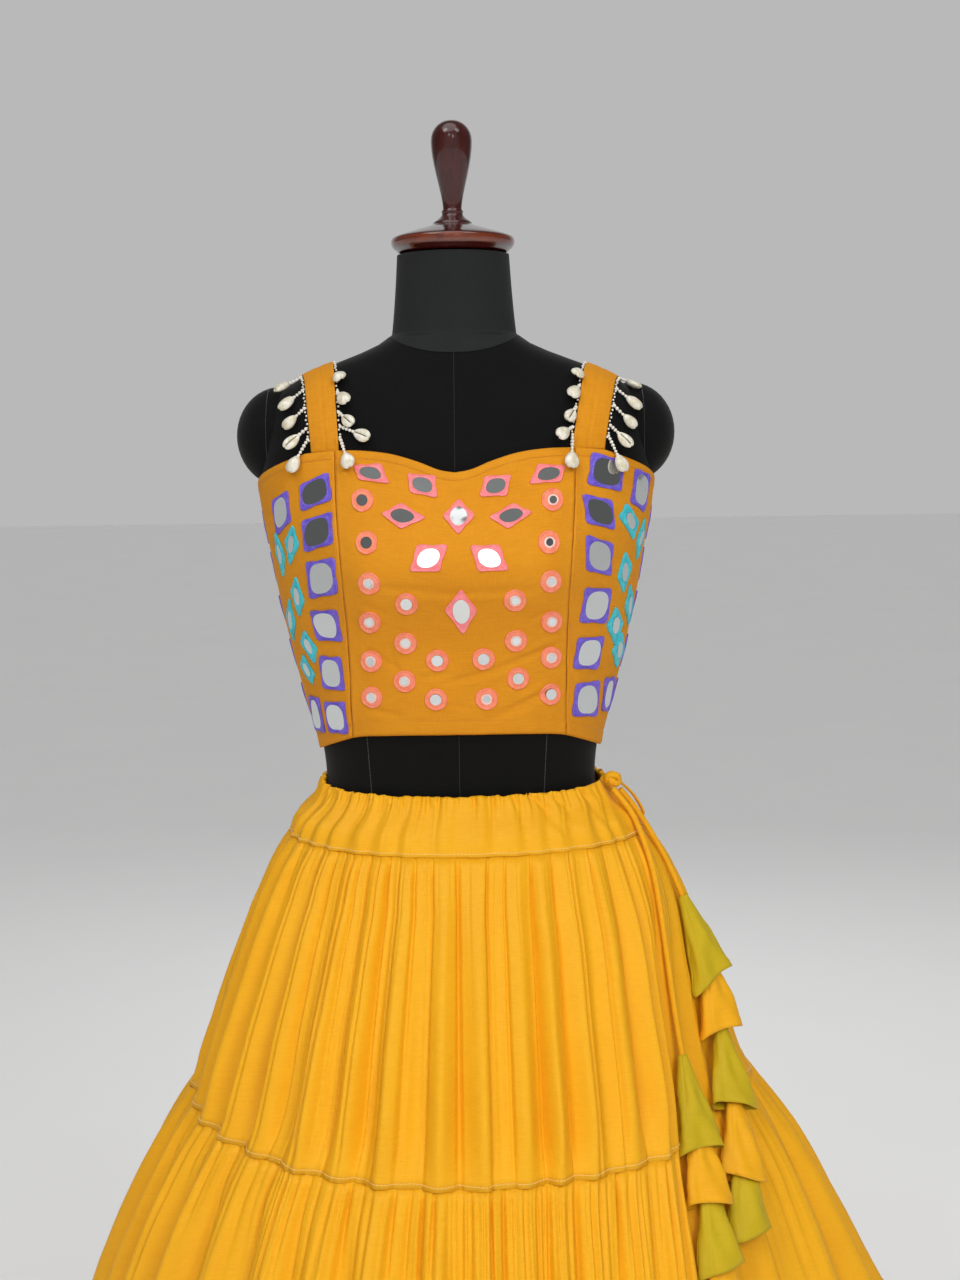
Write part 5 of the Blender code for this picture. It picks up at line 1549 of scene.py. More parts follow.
    def build(self) -> list[Piece]:
        """Makes the frames, one piece for each colour, the pale rings painted on some discs as their bevel's
        reflection, and the mirrors.
        """
        rng = np.random.default_rng(self.seed)
        frames = {kind: Shape(f"mirror_frames_{kind.value}") for kind in MirrorKind}
        glass, bevel_glints = Shape("mirrors"), Shape("mirror_bevel_glints")
        for patch in self.patches():
            style = self.styles[patch.kind]
            self.ring(frames[patch.kind], patch, style, (style.glass, 1.0), rng)
            # Some discs get a pale floss ring round a smaller mirror, a painted reflection of the glass's
            # bevel.
            bevel_glinted = patch.kind is MirrorKind.DISC and rng.random() < self.bevel_glinted
            if bevel_glinted:
                self.ring(bevel_glints, patch, style, self.bevel, rng)
            self.mirror(glass, patch, style.inner_power, self.bevel[0] if bevel_glinted else style.glass, rng)
        made = []
        for kind, shape in frames.items():
            shape.weld()
            made.append(shape.piece(self.styles[kind].finish))
        bevel_glints.weld()
        return [*made, bevel_glints.piece(BEVEL_GLINT_PAINT), glass.piece(MIRROR, smooth=False)]

    def ring(self, shape: Shape, patch: MirrorPatch, style: FrameStyle, reach: tuple[float, float],
             rng: np.random.Generator) -> None:
        """Works floss round a mirror.

        Args:
            shape: takes the floss.
            patch: the framed mirror.
            style: how it is worked.
            reach: how far out the floss starts and ends, as shares of the frame's half width.
            rng: makes each one a little different.
        """
        body, choli = self.choli.body, self.choli
        section = np.array([*self.section, self.section[0]])
        steps = np.linspace(0, 1, len(section))
        wobble = rng.uniform(0, 100)

        def place(u: Array, v: Array) -> Array:
            """Points of the floss, which swells and wavers a little on its way round."""
            turn = u * 2 * math.pi
            share = np.interp(v, steps, section[:, 0])
            inner = self.outline(turn, style.inner_power, reach[0])
            outer = self.outline(turn, style.outer_power if reach[1] == 1 else 2.0, reach[1])
            swell = 1 + share * (0.012 * np.sin(3 * turn + wobble) + 0.012 * np.sin(7 * turn + 2 * wobble))
            across, height = patch.flat(*(
                (a * (1 - share) + b * share) * swell for a, b in zip(inner, outer)))
            rise = style.rise * np.interp(v, steps, section[:, 1]) * (0.94 + 0.06 * np.sin(5 * turn + wobble))
            return body.laid(across, height, body.wall + choli.relief(across, height) + rise)

        shape.grid(style.segments, len(section) - 1, place, (patch.girth, patch.girth / 8))

    def mirror(self, shape: Shape, patch: MirrorPatch, power: float, scale: float,
               rng: np.random.Generator) -> None:
        """Lays the flat mirror inside its frame, tilted a little as its stitches hold it.

        Args:
            shape: takes the mirror.
            patch: the framed mirror.
            power: of its outline.
            scale: its half width as a share of the frame's.
            rng: tilts each one a little differently.
        """
        body = self.choli.body
        turn = np.linspace(0, 2 * math.pi, 37)[:-1]
        ring = body.laid(*patch.flat(*self.outline(turn, power, scale * self.under)),
                         body.wall + self.mirror_rise)
        middle = ring.mean(axis=0)
        out = unit(sum(np.cross(a - middle, b - middle) for a, b in zip(ring, np.roll(ring, -1, axis=0))))
        if out @ (middle * (1, 1, 0)) < 0:
            out = -out
        lean = rng.uniform(-self.tilt, self.tilt, 2)
        arms = ring - middle
        off = arms @ out - arms[:, 0] * lean[0] - arms[:, 2] * lean[1]
        ring = ring - off[:, None] * out
        face = shape.mesh.faces.new([shape.mesh.verts.new(point + out * self.mirror_face) for point in ring])
        back = bmesh.ops.extrude_face_region(shape.mesh, geom=[face], use_keep_orig=True)["geom"]
        moved = [item for item in back if isinstance(item, bmesh.types.BMVert)]
        bmesh.ops.translate(shape.mesh, verts=moved, vec=Vector(-out * self.mirror_thick))


# Straps and shells


class Face(Enum):
    """Which face of a shell shows."""

    BACK = 1
    SLIT = -1


@dataclass(frozen=True)
class CowrieForm:
    """A cowrie as a unit ball pressed into shape, with z along it towards the end that it hangs by."""

    # How much it narrows towards that end, evenly and more and more
    taper: tuple[float, float] = (0.24, 0.1)
    # How flat its face with the slit is, and the slit's depth and half width
    flat: float = 0.66
    slit: tuple[float, float] = (0.4, 0.16)
    # The teeth's height, their closeness, their distance from the slit's middle and their reach
    teeth: tuple[float, float, float, float] = (0.05, 30.0, 0.24, 0.1)
    knobs: float = 0.05
    # The beak at its lower end: how far it stands out, its half width and where it starts
    beak: Point = (0.11, 0.17, 0.72)

    def point(self, ball: Sequence[float], lean: float, number: int) -> Point:
        """Presses one point of the ball.

        Args:
            ball: the point, with y under 0 on the face with the slit.
            lean: how far the slit runs aslant.
            number: of the shell, which varies its back.

        Returns:
            The point in the shell's half widths, half depths and half lengths.
        """
        x, y, z = ball
        egg = 1 - self.taper[0] * z - self.taper[1] * z * z
        slit = max(0.0, 1 - z**6) if y < 0 else 0.0
        near = abs(x - lean * z)
        tooth, close, apart, reach = self.teeth
        depth = y * (self.flat if y < 0 else 1.0) + self.slit[0] * slit * bell(near, self.slit[1])
        depth = depth + tooth * slit * math.sin(close * z) * bell(near - apart, reach)
        if y > 0:
            depth += self.knobs * math.sin(4 * x + 2.2 * number) * math.cos(3 * z + number)
        out, half, start = self.beak
        end = z + out * bell(x, half) * max(0.0, -z - start) / (1 - start)
        return x * egg, depth, end


@dataclass(frozen=True)
class StrapLayout:
    """Where one strap and the shells in front of it lie."""

    side: str
    # Share of the length from the front, inner edge, outer edge
    rows: Rows
    # Across and height of each shell's middle, and the face that shows
    inner: tuple[tuple[float, float, Face], ...]
    outer: tuple[tuple[float, float, Face], ...]


LEFT_STRAP = StrapLayout(
    "left",
    (
        (0.0, 0.0995, 0.1245), (0.25, 0.105, 0.132), (0.5, 0.111, 0.14), (0.75, 0.104, 0.131),
        (1.0, 0.093, 0.12),
    ),
    ((0.0985, 1.413, Face.BACK), (0.0945, 1.395, Face.BACK), (0.0905, 1.3765, Face.SLIT),
     (0.0785, 1.364, Face.SLIT), (0.089, 1.342, Face.BACK)),
    ((0.15, 1.405, Face.BACK), (0.1445, 1.3915, Face.BACK), (0.141, 1.376, Face.BACK),
     (0.1365, 1.359, Face.SLIT), (0.1345, 1.34, Face.BACK)))
RIGHT_STRAP = StrapLayout(
    "right",
    (
        (0.0, 0.101, 0.13), (0.25, 0.113, 0.1415), (0.5, 0.1215, 0.15), (0.75, 0.115, 0.143),
        (1.0, 0.103, 0.131),
    ),
    ((0.1065, 1.413, Face.BACK), (0.1025, 1.3975, Face.BACK), (0.099, 1.3785, Face.SLIT),
     (0.0905, 1.362, Face.BACK), (0.097, 1.34, Face.BACK)),
    ((0.1565, 1.4045, Face.SLIT), (0.1545, 1.3885, Face.BACK), (0.15, 1.373, Face.BACK),
     (0.1425, 1.357, Face.SLIT), (0.1385, 1.337, Face.BACK)))


@dataclass
class Strap:
    """The strap on one side and its two cowrie fringes."""

    body: Body
    layout: StrapLayout
    seat_front: float = 1.3536
    seat_back: float = 1.3253
    ease: float = 0.0022
    wall: float = 0.002
    cloth: float = 0.0012
    # Its width and its length as it lies, and as it is cut
    flat: tuple[float, float] = (0.027, 0.21)
    cut: tuple[float, float] = (0.027, 0.22)
    stations: int = 15
    # Relief by the distance from an edge, in the middle by a share of the width, and all along
    edge_ridges: tuple[Ridge, ...] = (Ridge(-0.0007, 0.0, 0.0012), Ridge(-0.0003, 0.0032, 0.0008))
    middle_ridge: Ridge = Ridge(-0.0005, 0.46, 0.05)
    waver: Waver = Waver(0.0003, 0.01, 0.013, 31)
    waved: float = 0.2
    # How much of each end is tucked under the choli's edge, and how far it goes in and down there
    tucked: float = 0.03
    tuck: tuple[float, float] = (0.0018, 0.0046)
    fringe: float = 0.0016
    fringe_gap: float = 0.0006
    # A shell's length, width and depth, and how far its middle stands off the form and the choli
    shell: Point = (0.017, 0.0118, 0.0085)
    form: CowrieForm = CowrieForm()
    on_form: float = 0.0064
    on_choli: float = 0.0105
    # Where a thread leaves the strap: shares of the length above the nearest point, and its limits
    rise: float = 0.04
    lowest_root: float = 0.03
    highest_root: float = 0.45
    # Shells behind: shares of the strap's length, their drop and their way aside at the inner and outer edge
    back_drops: tuple[float, ...] = (0.64, 0.82)
    back_length: float = 0.022
    back_spread: tuple[float, float] = (0.0107, 0.004)
    thread_radius: float = 0.0004
    # Shares of a shell's half length, up from its middle, where the beads and where the thread end
    thread_ends: tuple[float, float] = (0.86, 0.8)
    bead_radius: float = 0.0016
    bead_half: float = 0.0017
    bead_pitch: float = 0.0033
    # Zig-zag of seed beads along the edge
    seeds: int = 66
    seed_radius: float = 0.00105
    zigzag: tuple[float, float] = (-0.0002, 0.0007)

    def __post_init__(self) -> None:
        """Lays the strap's three rails over the shoulder."""
        self.shares = np.linspace(0, 1, self.stations)
        self.side = self.layout.side
        self.sign = 1 if self.side == "right" else -1
        rows = self.layout.rows
        self.rails = []
        for edge in (0.0, 0.5, 1.0):
            rail = []
            for share in self.shares:
                across = float(table_curve(rows, 1, share) * (1 - edge) + table_curve(rows, 2, share) * edge)
                at, way = self.over_shoulder(across)
                rail.append((self.sign * across, *(np.interp(share, at, way[:, axis]) for axis in (0, 1))))
            self.rails.append(np.array(rail))
        inner, middle, outer = self.rails
        self.aside = unit(outer - inner)
        self.out = unit(np.cross(np.gradient(middle, axis=0), self.aside) * -self.sign)
        self.past = self.fringe_gap + self.fringe / 2

    def over_shoulder(self, across: float) -> tuple[Array, Array]:
        """The way over the shoulder at one distance from the middle, front to back."""
        heights = np.linspace(1.34, self.body.rows[-1][0], 400)
        crest = float(heights[np.searchsorted(-self.body.radii(heights, self.ease)[0], -across)])
        share = np.sin(np.linspace(0, math.pi / 2, 60))
        sides = []
        for column, seat, sign in ((1, self.seat_front, -1), (2, self.seat_back, 1)):
            z = seat + (crest - seat) * share
            radii = self.body.radii(z, self.ease)
            power = self.body.squareness
            y = sign * radii[column] * np.maximum(0, 1 - (across / radii[0]) ** power) ** (1 / power)
            sides.append(np.stack([y, z], axis=1))
        way = np.concatenate([sides[0][:-1], sides[1][::-1]])
        for _ in range(3):
            way[1:-1] = (way[:-2] + 2 * way[1:-1] + way[2:]) / 4
        along = tape(way)
        return along / along[-1], way

    def surface(self, edge: Array, share: Array, out: Array | float) -> Array:
        """Points of the strap.

        Args:
            edge: from 0 at the inner edge to 1 at the outer.
            share: of the length, from the front.
            out: how far off the strap's inner face.

        Returns:
            The points, one row each.
        """
        edge, share = np.broadcast_arrays(np.asarray(edge, float), np.asarray(share, float))
        found = np.zeros((*edge.shape, 3))
        for axis in range(3):
            inner, middle, outer, off = (table_curve(np.stack([self.shares, rail[:, axis]], axis=1), 1, share)
                                         for rail in (*self.rails, self.out))
            low = inner * (1 - 2 * edge) + middle * 2 * edge
            high = middle * (2 - 2 * edge) + outer * (2 * edge - 1)
            found[..., axis] = np.where(edge < 0.5, low, high) + off * out
        return found

    def edge_point(self, edge: str, share: float, past: float) -> Array:
        """A point past one edge of the strap."""
        rail, sign = (self.rails[2], 1) if edge == "outer" else (self.rails[0], -1)
        return points_at(share, self.shares, rail + sign * past * self.aside + self.out * self.fringe / 2)

    def place(self, u: Array, v: Array) -> Array:
        """Points of the cloth, with its folded edges, its seam and its tucked ends."""
        apart = np.minimum(u, 1 - u) * self.flat[0]
        out = self.wall
        for ridge in self.edge_ridges:
            out = out + ridge.at(apart)
        out = out + self.middle_ridge.at(u) + self.waver.at(v * self.waved, u)
        tucked = np.clip(1 - np.minimum(v, 1 - v) / self.tucked, 0, 1)
        inwards, down = self.tuck
        return self.surface(u, v, out) + np.stack(
            [0 * v, np.where(v < 0.5, inwards, -inwards) * tucked, -down * tucked], axis=-1)

    def build(self) -> Piece:
        """Makes the strap with its stitching and fringes, and returns the strap."""
        shape = Shape(f"strap_{self.side}_cloth")
        shape.grid(22, 110, self.place, self.flat)
        strap = shape.piece(COTTON, wall=self.cloth)
        self.turn_outwards(strap)
        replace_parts(strap, "strap_" + self.side)
        sewing = Shape(f"strap_{self.side}_stitching")
        share = np.linspace(0.01, 0.99, 120)
        for edge in (0.1, 0.9):
            way = self.surface(np.full(120, edge), share, self.wall - 0.0002)
            out = self.surface(np.full(120, edge), share, self.wall + 0.01) - way
            sewing.stitches(way, out, CHOLI_STITCH)
        sewing.piece(THREAD, smooth=False)
        for edge in ("inner", "outer"):
            self.build_fringe(edge)
        return strap

    def turn_outwards(self, strap: Piece) -> None:
        """Turns the strap's cloth so that its face looks away from the form."""
        mesh = strap.data
        normal = np.array(mesh.polygons[len(mesh.polygons) // 2].normal)
        if normal @ self.out[self.stations // 2] < 0:
            mesh.flip_normals()

    def resting_place(self, across: float, height: float, facing: int) -> Array:
        """Where a shell's middle lies, in front (-1) or behind (1)."""
        half, front, back = (float(r) for r in self.body.radii(height, 0.0))
        share = min(0.999, abs(across) / half)
        power = self.body.squareness
        depth = (front if facing < 0 else back) * (1 - share**power) ** (1 / power)
        point = np.array([across, facing * depth, height])
        on_choli = height < self.seat_front + self.shell[0] / 2
        return point + self.body.outwards(point) * (self.on_choli if on_choli else self.on_form)

    def drops(self, edge: str) -> list[tuple[Array, Array, Face]]:
        """Each shell of one edge: where its thread leaves the strap, its middle and the face that shows."""
        found = []
        for across, height, face in getattr(self.layout, edge):
            middle = self.resting_place(self.sign * across, height, -1)
            shares = np.linspace(0, self.highest_root, 91)
            apart = [np.linalg.norm(self.edge_point(edge, share, self.past) - middle) for share in shares]
            share = float(shares[int(np.argmin(apart))]) + self.rise
            share = min(self.highest_root, max(self.lowest_root, share))
            found.append((self.edge_point(edge, share, self.past), middle, face))
        away = self.back_spread[1] if edge == "outer" else -self.back_spread[0]
        for share in self.back_drops:
            root = self.edge_point(edge, share, self.past)
            middle = self.resting_place(root[0] + self.sign * away, root[2] - self.back_length, 1)
            found.append((root, middle, Face.BACK))
        return found

    def build_fringe(self, edge: str) -> None:
        """Makes one edge's shells, beads, threads and zig-zag of seed beads, and the dark lens of painted
        shade in each shown slit.
        """
        name = f"{self.side}_{edge}"
        shells, beads, threads, slit_shades = (Shape(f"{kind}_{name}") for kind in ("cowries", "beads", "threads",
                                                                              "cowrie_slit_shades"))
        for number, (root, middle, face) in enumerate(self.drops(edge)):
            self.thread(beads, threads, root, middle, number)
            self.cowrie(shells, slit_shades, root, middle, face, number)
        for number, share in enumerate(np.linspace(0.03, 0.97, self.seeds)):
            centre = self.edge_point(edge, float(share), self.past + self.zigzag[number % 2])
            beads.ball(centre, np.eye(3) * self.seed_radius, 6, 5)
        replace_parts(shells.piece(SHELL), f"cowrie_fringe_{name}")
        beads.piece(BEAD)
        threads.piece(WHITE_THREAD)
        slit_shades.piece(SLIT)

    def frame(self, root: Array, middle: Array) -> tuple[Array, Array, Array]:
        """A shell's own axes: down its thread, outwards and across."""
        axis = unit(middle - root)
        out = self.body.outwards(middle)
        out = unit(out - axis * (out @ axis))
        return axis, out, np.cross(axis, out)

    def half_length(self, number: int) -> float:
        """Half a shell's length, a little different from shell to shell."""
        return self.shell[0] / 2 * (1 + 0.06 * math.sin(2.4 * number))

    def thread(self, beads: Shape, threads: Shape, root: Array, middle: Array, number: int) -> None:
        """One thread with its row of glass beads, from the strap's edge to the shell.

        Args:
            beads: takes the beads.
            threads: takes the thread.
            root: where it leaves the strap.
            middle: the shell's middle.
            number: of the shell along its edge, which varies the beads.
        """
        axis, out, wide = self.frame(root, middle)
        half = self.half_length(number)
        beads_end, thread_end = self.thread_ends
        room = float(np.linalg.norm(middle - root)) - half * beads_end
        threads.rod(root, middle - axis * half * thread_end, self.thread_radius)
        count = max(2, round(room / self.bead_pitch))
        for k in range(count):
            centre = root + axis * room * (k + 0.5) / count
            radius = self.bead_radius * (1 + 0.12 * math.sin(5.1 * k + number))
            half_bead = min(self.bead_half, room * 0.46 / count)
            beads.ball(centre, np.stack([wide * radius, out * radius, axis * half_bead]), 10, 7)

    def cowrie(self, shells: Shape, slit_shades: Shape, root: Array, middle: Array, face: Face,
               number: int) -> None:
        """One cowrie: a teardrop, domed behind, with a toothed slit on its flatter face.

        Args:
            shells: takes the shell.
            slit_shades: takes a dark lens sunk in the slit, painted shade of the shell's opening.
            root: where its thread leaves the strap.
            middle: its middle.
            face: the one that shows.
            number: of the shell along its edge, which varies it.
        """
        axis, out, wide = self.frame(root, middle)
        half = self.half_length(number)
        plump = 1 + 0.08 * math.sin(1.7 * number + 1)
        lean = 0.1 * math.sin(3.1 * number)
        turned = wide * face.value
        for vert in shells.ball(np.zeros(3), np.eye(3), 32, 24):
            x, y, z = self.form.point(vert.co, lean, number)
            vert.co = Vector(middle + turned * (x * plump * self.shell[1] / 2)
                             + out * face.value * (y * self.shell[2] / 2) - axis * z * half)
        # A dark lens sunk in the slit paints the shade inside the shell's opening.
        if face is Face.SLIT:
            inside = middle - out * face.value * 0.3 * self.shell[2] / 2
            axes = np.stack([turned * 0.00062, out * 0.0006, (axis + wide * lean) * half * 0.74])
            slit_shades.ball(inside, axes, 10, 16)


# Lehenga


# The length of cloth over which a groove drifts and widens
GROOVE_REACH = 0.24


@dataclass(frozen=True)
class Grooves:
    """Sharp folds that run down a band of cloth from its seam."""

    angle: Array
    width: Array
    depth: Array
    length: Array
    skew: Array
    drift: Array

    @classmethod
    def scattered(cls, seed: int, count: int, width: tuple[float, float], depth: tuple[float, float],
                  length: tuple[float, float], drift: float = 0.02) -> "Grooves":
        """Grooves spread unevenly all round."""
        rng = np.random.default_rng(seed)
        gaps = rng.uniform(0.5, 1.5, count)
        angle = -math.pi + np.cumsum(gaps) * 2 * math.pi / gaps.sum()
        return cls(angle, rng.uniform(*width, count), rng.uniform(*depth, count), rng.uniform(*length, count),
                   rng.choice([-1.0, 1.0], count), rng.uniform(-drift, drift, count))

    def sink(self, angle: Array, down: Array, radius: Array) -> Array:
        """How far the cloth goes in.

        Args:
            angle: of the point.
            down: its distance below the seam.
            radius: of the lehenga there.

        Returns:
            The depth at each point.
        """
        total = np.zeros_like(angle)
        fallen = down / GROOVE_REACH
        for a, width, depth, length, skew, drift in zip(
                self.angle, self.width, self.depth, self.length, self.skew, self.drift):
            off = (angle - a - drift * fallen + math.pi) % (2 * math.pi) - math.pi
            near = np.abs(off * radius) < 4 * width * (1 + 2.5 * fallen)
            spread = width * (1 + 1.6 * fallen[near])
            x = off[near] * radius[near] / spread * skew
            shape = np.where(x < 0, bell(x, 0.45), bell(x, 1.0))
            total[near] += depth * shape * bell(down[near], length)
        return total


@dataclass(frozen=True)
class Band:
    """One gathered band of the lehenga."""

    name: str
    number: int
    top: float
    bottom: float
    columns: int
    rows: int
    cut: tuple[float, float]
    grooves: tuple[Grooves, ...]


@dataclass
class Lehenga:
    """The waistband and the four gathered tiers."""

    form: SkirtForm
    gap: float = 0.0001
    wall: float = 0.0011
    crowd: float = 0.42
    seams: tuple[float, ...] = (1.05, 1.003, 0.763, 0.545, 0.31, 0.065)
    # Where each band's row of stitches runs, as a share of its length from the top
    stitched: tuple[float, ...] = (0.945, 0.986, 0.986, 0.986, 0.962)
    tip_angle: float = math.radians(-80)
    tip_rise: float = 0.01
    tip_width: float = math.radians(4)
    # Relief below a tier's seam and below the waistband's gathered edge, and unevenness all over
    seam_ridge: Ridge = Ridge(-0.0007, 0.0, 0.003)
    casing_ridge: Ridge = Ridge(-0.0008, 0.008, 0.0012)
    uneven: Waver = Waver(0.0004, 0.2, 0.013, 90)
    # A groove starts at a share of its depth, which is full that far below the seam, and loses a share of it
    # from a share of the band's length on
    groove_start: tuple[float, float] = (0.15, 0.014)
    groove_end: tuple[float, float] = (0.7, 0.9)
    # How near the centre back, in radians, the unevenness dies out, so that both ends of the band meet
    back_fade: float = 0.2
    # Half the waist's breadth, which the waistband's folds are measured on, and its edge's scallops
    waist_half: float = 0.15
    scallop: Waver = Waver(0.0009, 0.0, 0.0042, 43)
    scallop_half: float = 0.13
    # How much the upper and the lower edge rise where the cloth stands out, and the most of it that counts
    upper_lift: tuple[float, float] = (0.28, 0.003)
    lower_lift: tuple[float, float] = (0.07, 0.02)
    # Shares of the length that the edges' lifts reach over
    upper_reach: float = 0.35
    lower_reach: float = 0.25
    # Grooves of the first tier in front, as in the photo: across at the height below, width, depth
    front_height: float = 0.955
    front_grooves: Rows = (
        (-0.15, 0.0014, 0.0034), (-0.14, 0.0015, 0.0042), (-0.131, 0.0012, 0.0026), (-0.122, 0.0016, 0.0044),
        (-0.113, 0.0012, 0.0026), (-0.104, 0.0016, 0.0044), (-0.095, 0.0013, 0.003),
        (-0.086, 0.0015, 0.0036), (-0.076, 0.0012, 0.0022), (-0.066, 0.0017, 0.0044),
        (-0.056, 0.0012, 0.0024), (-0.041, 0.0016, 0.004), (-0.024, 0.0012, 0.0028), (-0.003, 0.0016, 0.004),
        (0.022, 0.0017, 0.0046), (0.038, 0.0014, 0.0034), (0.062, 0.0017, 0.0042), (0.082, 0.0014, 0.0036),
        (0.1, 0.0014, 0.0032), (0.119, 0.0015, 0.0036), (0.136, 0.0014, 0.003),
    )
    # Waistband folds: across and height of both ends, width, depth
    band_folds: Rows = (
        (0.046, 1.049, 0.055, 1.026, 0.003, 0.003), (0.063, 1.049, 0.092, 1.017, 0.0036, 0.0046),
        (0.078, 1.05, 0.104, 1.025, 0.0028, 0.003), (0.108, 1.05, 0.134, 1.014, 0.0036, 0.0044),
        (-0.118, 1.047, -0.14, 1.02, 0.0034, 0.0024), (-0.1, 1.048, -0.112, 1.033, 0.0028, 0.0016),
        (-0.03, 1.049, -0.024, 1.033, 0.0026, 0.0016), (0.012, 1.049, 0.008, 1.033, 0.0026, 0.0015),
    )

    def front(self) -> Grooves:
        """The first tier's grooves in front, where the photo has them."""
        rows = np.array(self.front_grooves)
        angle = np.array([self.form.angle_at(across, self.front_height) for across in rows[:, 0]])
        count = len(rows)
        skew = np.where(np.arange(count) % 3 == 0, -1.0, 1.0)
        return Grooves(angle, rows[:, 1], 1.25 * rows[:, 2], np.full(count, 0.9), skew, np.zeros(count))

    def bands(self) -> list[Band]:
        """The five bands from the waist down."""
        gap = self.gap / 2
        first = Grooves.scattered(51, 66, (0.0016, 0.0026), (0.003, 0.0055), (0.6, 1.2))
        low, high = self.front().angle.min() - 0.05, self.front().angle.max() + 0.05
        keep = (first.angle < low) | (first.angle > high)
        first = Grooves(first.angle[keep], first.width[keep], first.depth[keep], first.length[keep],
                        first.skew[keep], first.drift[keep])
        fine = Grooves.scattered(52, 150, (0.0009, 0.0014), (0.0005, 0.0014), (0.02, 0.09))
        return [
            Band("waistband", 0, self.seams[0], self.seams[1] + gap, 840, 20, (1.15, 0.052), (
                Grooves.scattered(41, 104, (0.0014, 0.0022), (0.0014, 0.003), (0.009, 0.019)),
                Grooves.scattered(42, 34, (0.002, 0.0034), (0.0016, 0.0032), (0.018, 0.034)))),
            Band("tier_1", 1, self.seams[1] - gap, self.seams[2] + gap, 960, 32, (1.95, 0.27),
                 (self.front(), first, fine)),
            Band("tier_2", 2, self.seams[2] - gap, self.seams[3] + gap, 960, 26, (2.75, 0.24), (
                Grooves.scattered(61, 180, (0.0016, 0.0027), (0.0018, 0.0042), (0.04, 0.12)),
                Grooves.scattered(62, 96, (0.0022, 0.0038), (0.003, 0.0066), (0.12, 0.35)))),
            Band("tier_3", 3, self.seams[3] - gap, self.seams[4] + gap, 640, 21, (3.6, 0.25), (
                Grooves.scattered(71, 200, (0.0022, 0.0034), (0.002, 0.005), (0.03, 0.11)),
                Grooves.scattered(72, 104, (0.004, 0.0062), (0.0035, 0.008), (0.12, 0.35)))),
            Band("tier_4", 4, self.seams[4] - gap, self.seams[5], 640, 21, (4.3, 0.26), (
                Grooves.scattered(81, 220, (0.0024, 0.0038), (0.002, 0.0054), (0.03, 0.11)),
                Grooves.scattered(82, 110, (0.0044, 0.007), (0.0035, 0.009), (0.12, 0.4)))),
        ]

    def out_at(self, band: Band, angle: Array, share: Array, height: Array) -> Array:
        """How far a band's cloth stands off the plain surface.

        Args:
            band: the waistband or a tier.
            angle: of each point, from the centre front towards +X.
            share: of the band's length, from its top.
            height: above the floor.

        Returns:
            The distance out at each point.
        """
        down = band.top - height
        radius = (table_curve(self.form.rows, 2, height) + table_curve(self.form.rows, 3, height)) / 2
        out = self.form.large_folds(band.number, angle, share, height)
        (least, grown), (lost, fading) = self.groove_start, self.groove_end
        for grooves in band.grooves:
            start = least + (1 - least) * softened(down, 0.0, grown) if band.number else 1.0
            end = 1 - lost * softened(share, fading, 1.0) if 0 < band.number < 4 else 1.0
            out = out - start * end * grooves.sink(angle, down, radius)
        if band.number == 0:
            out = out + self.waist_relief(angle, height)
        else:
            out = out + self.seam_ridge.at(down)
        uneven = replace(self.uneven, seed=self.uneven.seed + band.number).at(angle * radius, height)
        return out + uneven * self.off_back(angle)

    def off_back(self, angle: Array) -> Array:
        """0 at the centre back, and 1 a little beside it and all the way round."""
        return softened(math.pi - np.abs(angle), 0.0, self.back_fade)

    def waist_relief(self, angle: Array, height: Array) -> Array:
        """The waistband's own folds, which run aslant from its gathered edge."""
        out = np.zeros_like(angle)
        half = self.waist_half
        for x0, z0, x1, z1, width, depth in self.band_folds:
            ends = (self.form.angle_at(x0, z0) * half, z0, self.form.angle_at(x1, z1) * half, z1)
            share, apart = beside_line(angle * half, height, ends)
            out = out - depth * (1 - 0.8 * share**2) * bell(apart, width)
        return out + self.casing_ridge.at(self.seams[0] - height)

    def point(self, band: Band, angle: Array, share: Array, more: float = 0.0) -> Array:
        """Points of a band's cloth.

        Args:
            band: the waistband or a tier.
            angle: of each point, from the centre front towards +X.
            share: of the band's length, from its top.
            more: how far outside the cloth.

        Returns:
            The points, one row each.
        """
        height = band.top + (band.bottom - band.top) * share
        out = self.out_at(band, angle, share, height)
        made = self.form.point(angle, height, out + more)
        if band.number == 0:
            away = (angle - self.tip_angle) / self.tip_width
            factor, most = self.upper_lift
            lift = self.tip_rise * bell(away, 1.0)
            lift = lift + self.scallop.at(angle * self.scallop_half, 0.0) * self.off_back(angle)
            lift = lift + factor * np.clip(out, -most, most)
            made[..., 2] += lift * np.clip(1 - share / self.upper_reach, 0, 1) ** 1.5
        elif band.number < 4:
            factor, most = self.lower_lift
            near = np.clip((share - 1 + self.lower_reach) / self.lower_reach, 0, 1)
            made[..., 2] += factor * np.clip(out, -most, most) * near**2
        return made

    def place(self, band: Band, u: Array, v: Array) -> Array:
        """Points of a band's cloth, all round from the back and up from its lower edge."""
        return self.point(band, (u * 2 - 1) * math.pi, 1 - v)

    def build(self) -> list[Piece]:
        """Makes the bands and the stitching on their seams, and returns the bands."""
        made = []
        for band in self.bands():
            shape = Shape(band.name + "_cloth")
            shape.grid(band.columns, band.rows, partial(self.place, band), band.cut, self.crowd)
            shape.weld(2e-5)
            piece = shape.piece(RAYON, Facing.FROM_AXIS, wall=self.wall)
            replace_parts(piece, band.name)
            made.append(piece)
        self.sew()
        return made

    def sew(self) -> None:
        """Stitches above each seam and above the hem."""
        shape = Shape("lehenga_stitching")
        turns = np.linspace(-math.pi, math.pi, 1400)
        for band, share in zip(self.bands(), self.stitched):
            way = self.point(band, turns, np.full(len(turns), share), 0.0004)
            out = self.point(band, turns, np.full(len(turns), share), 0.01) - way
            shape.stitches(way, out, TIER_STITCH)
        shape.piece(PALE_THREAD, smooth=False)


# Drawstring


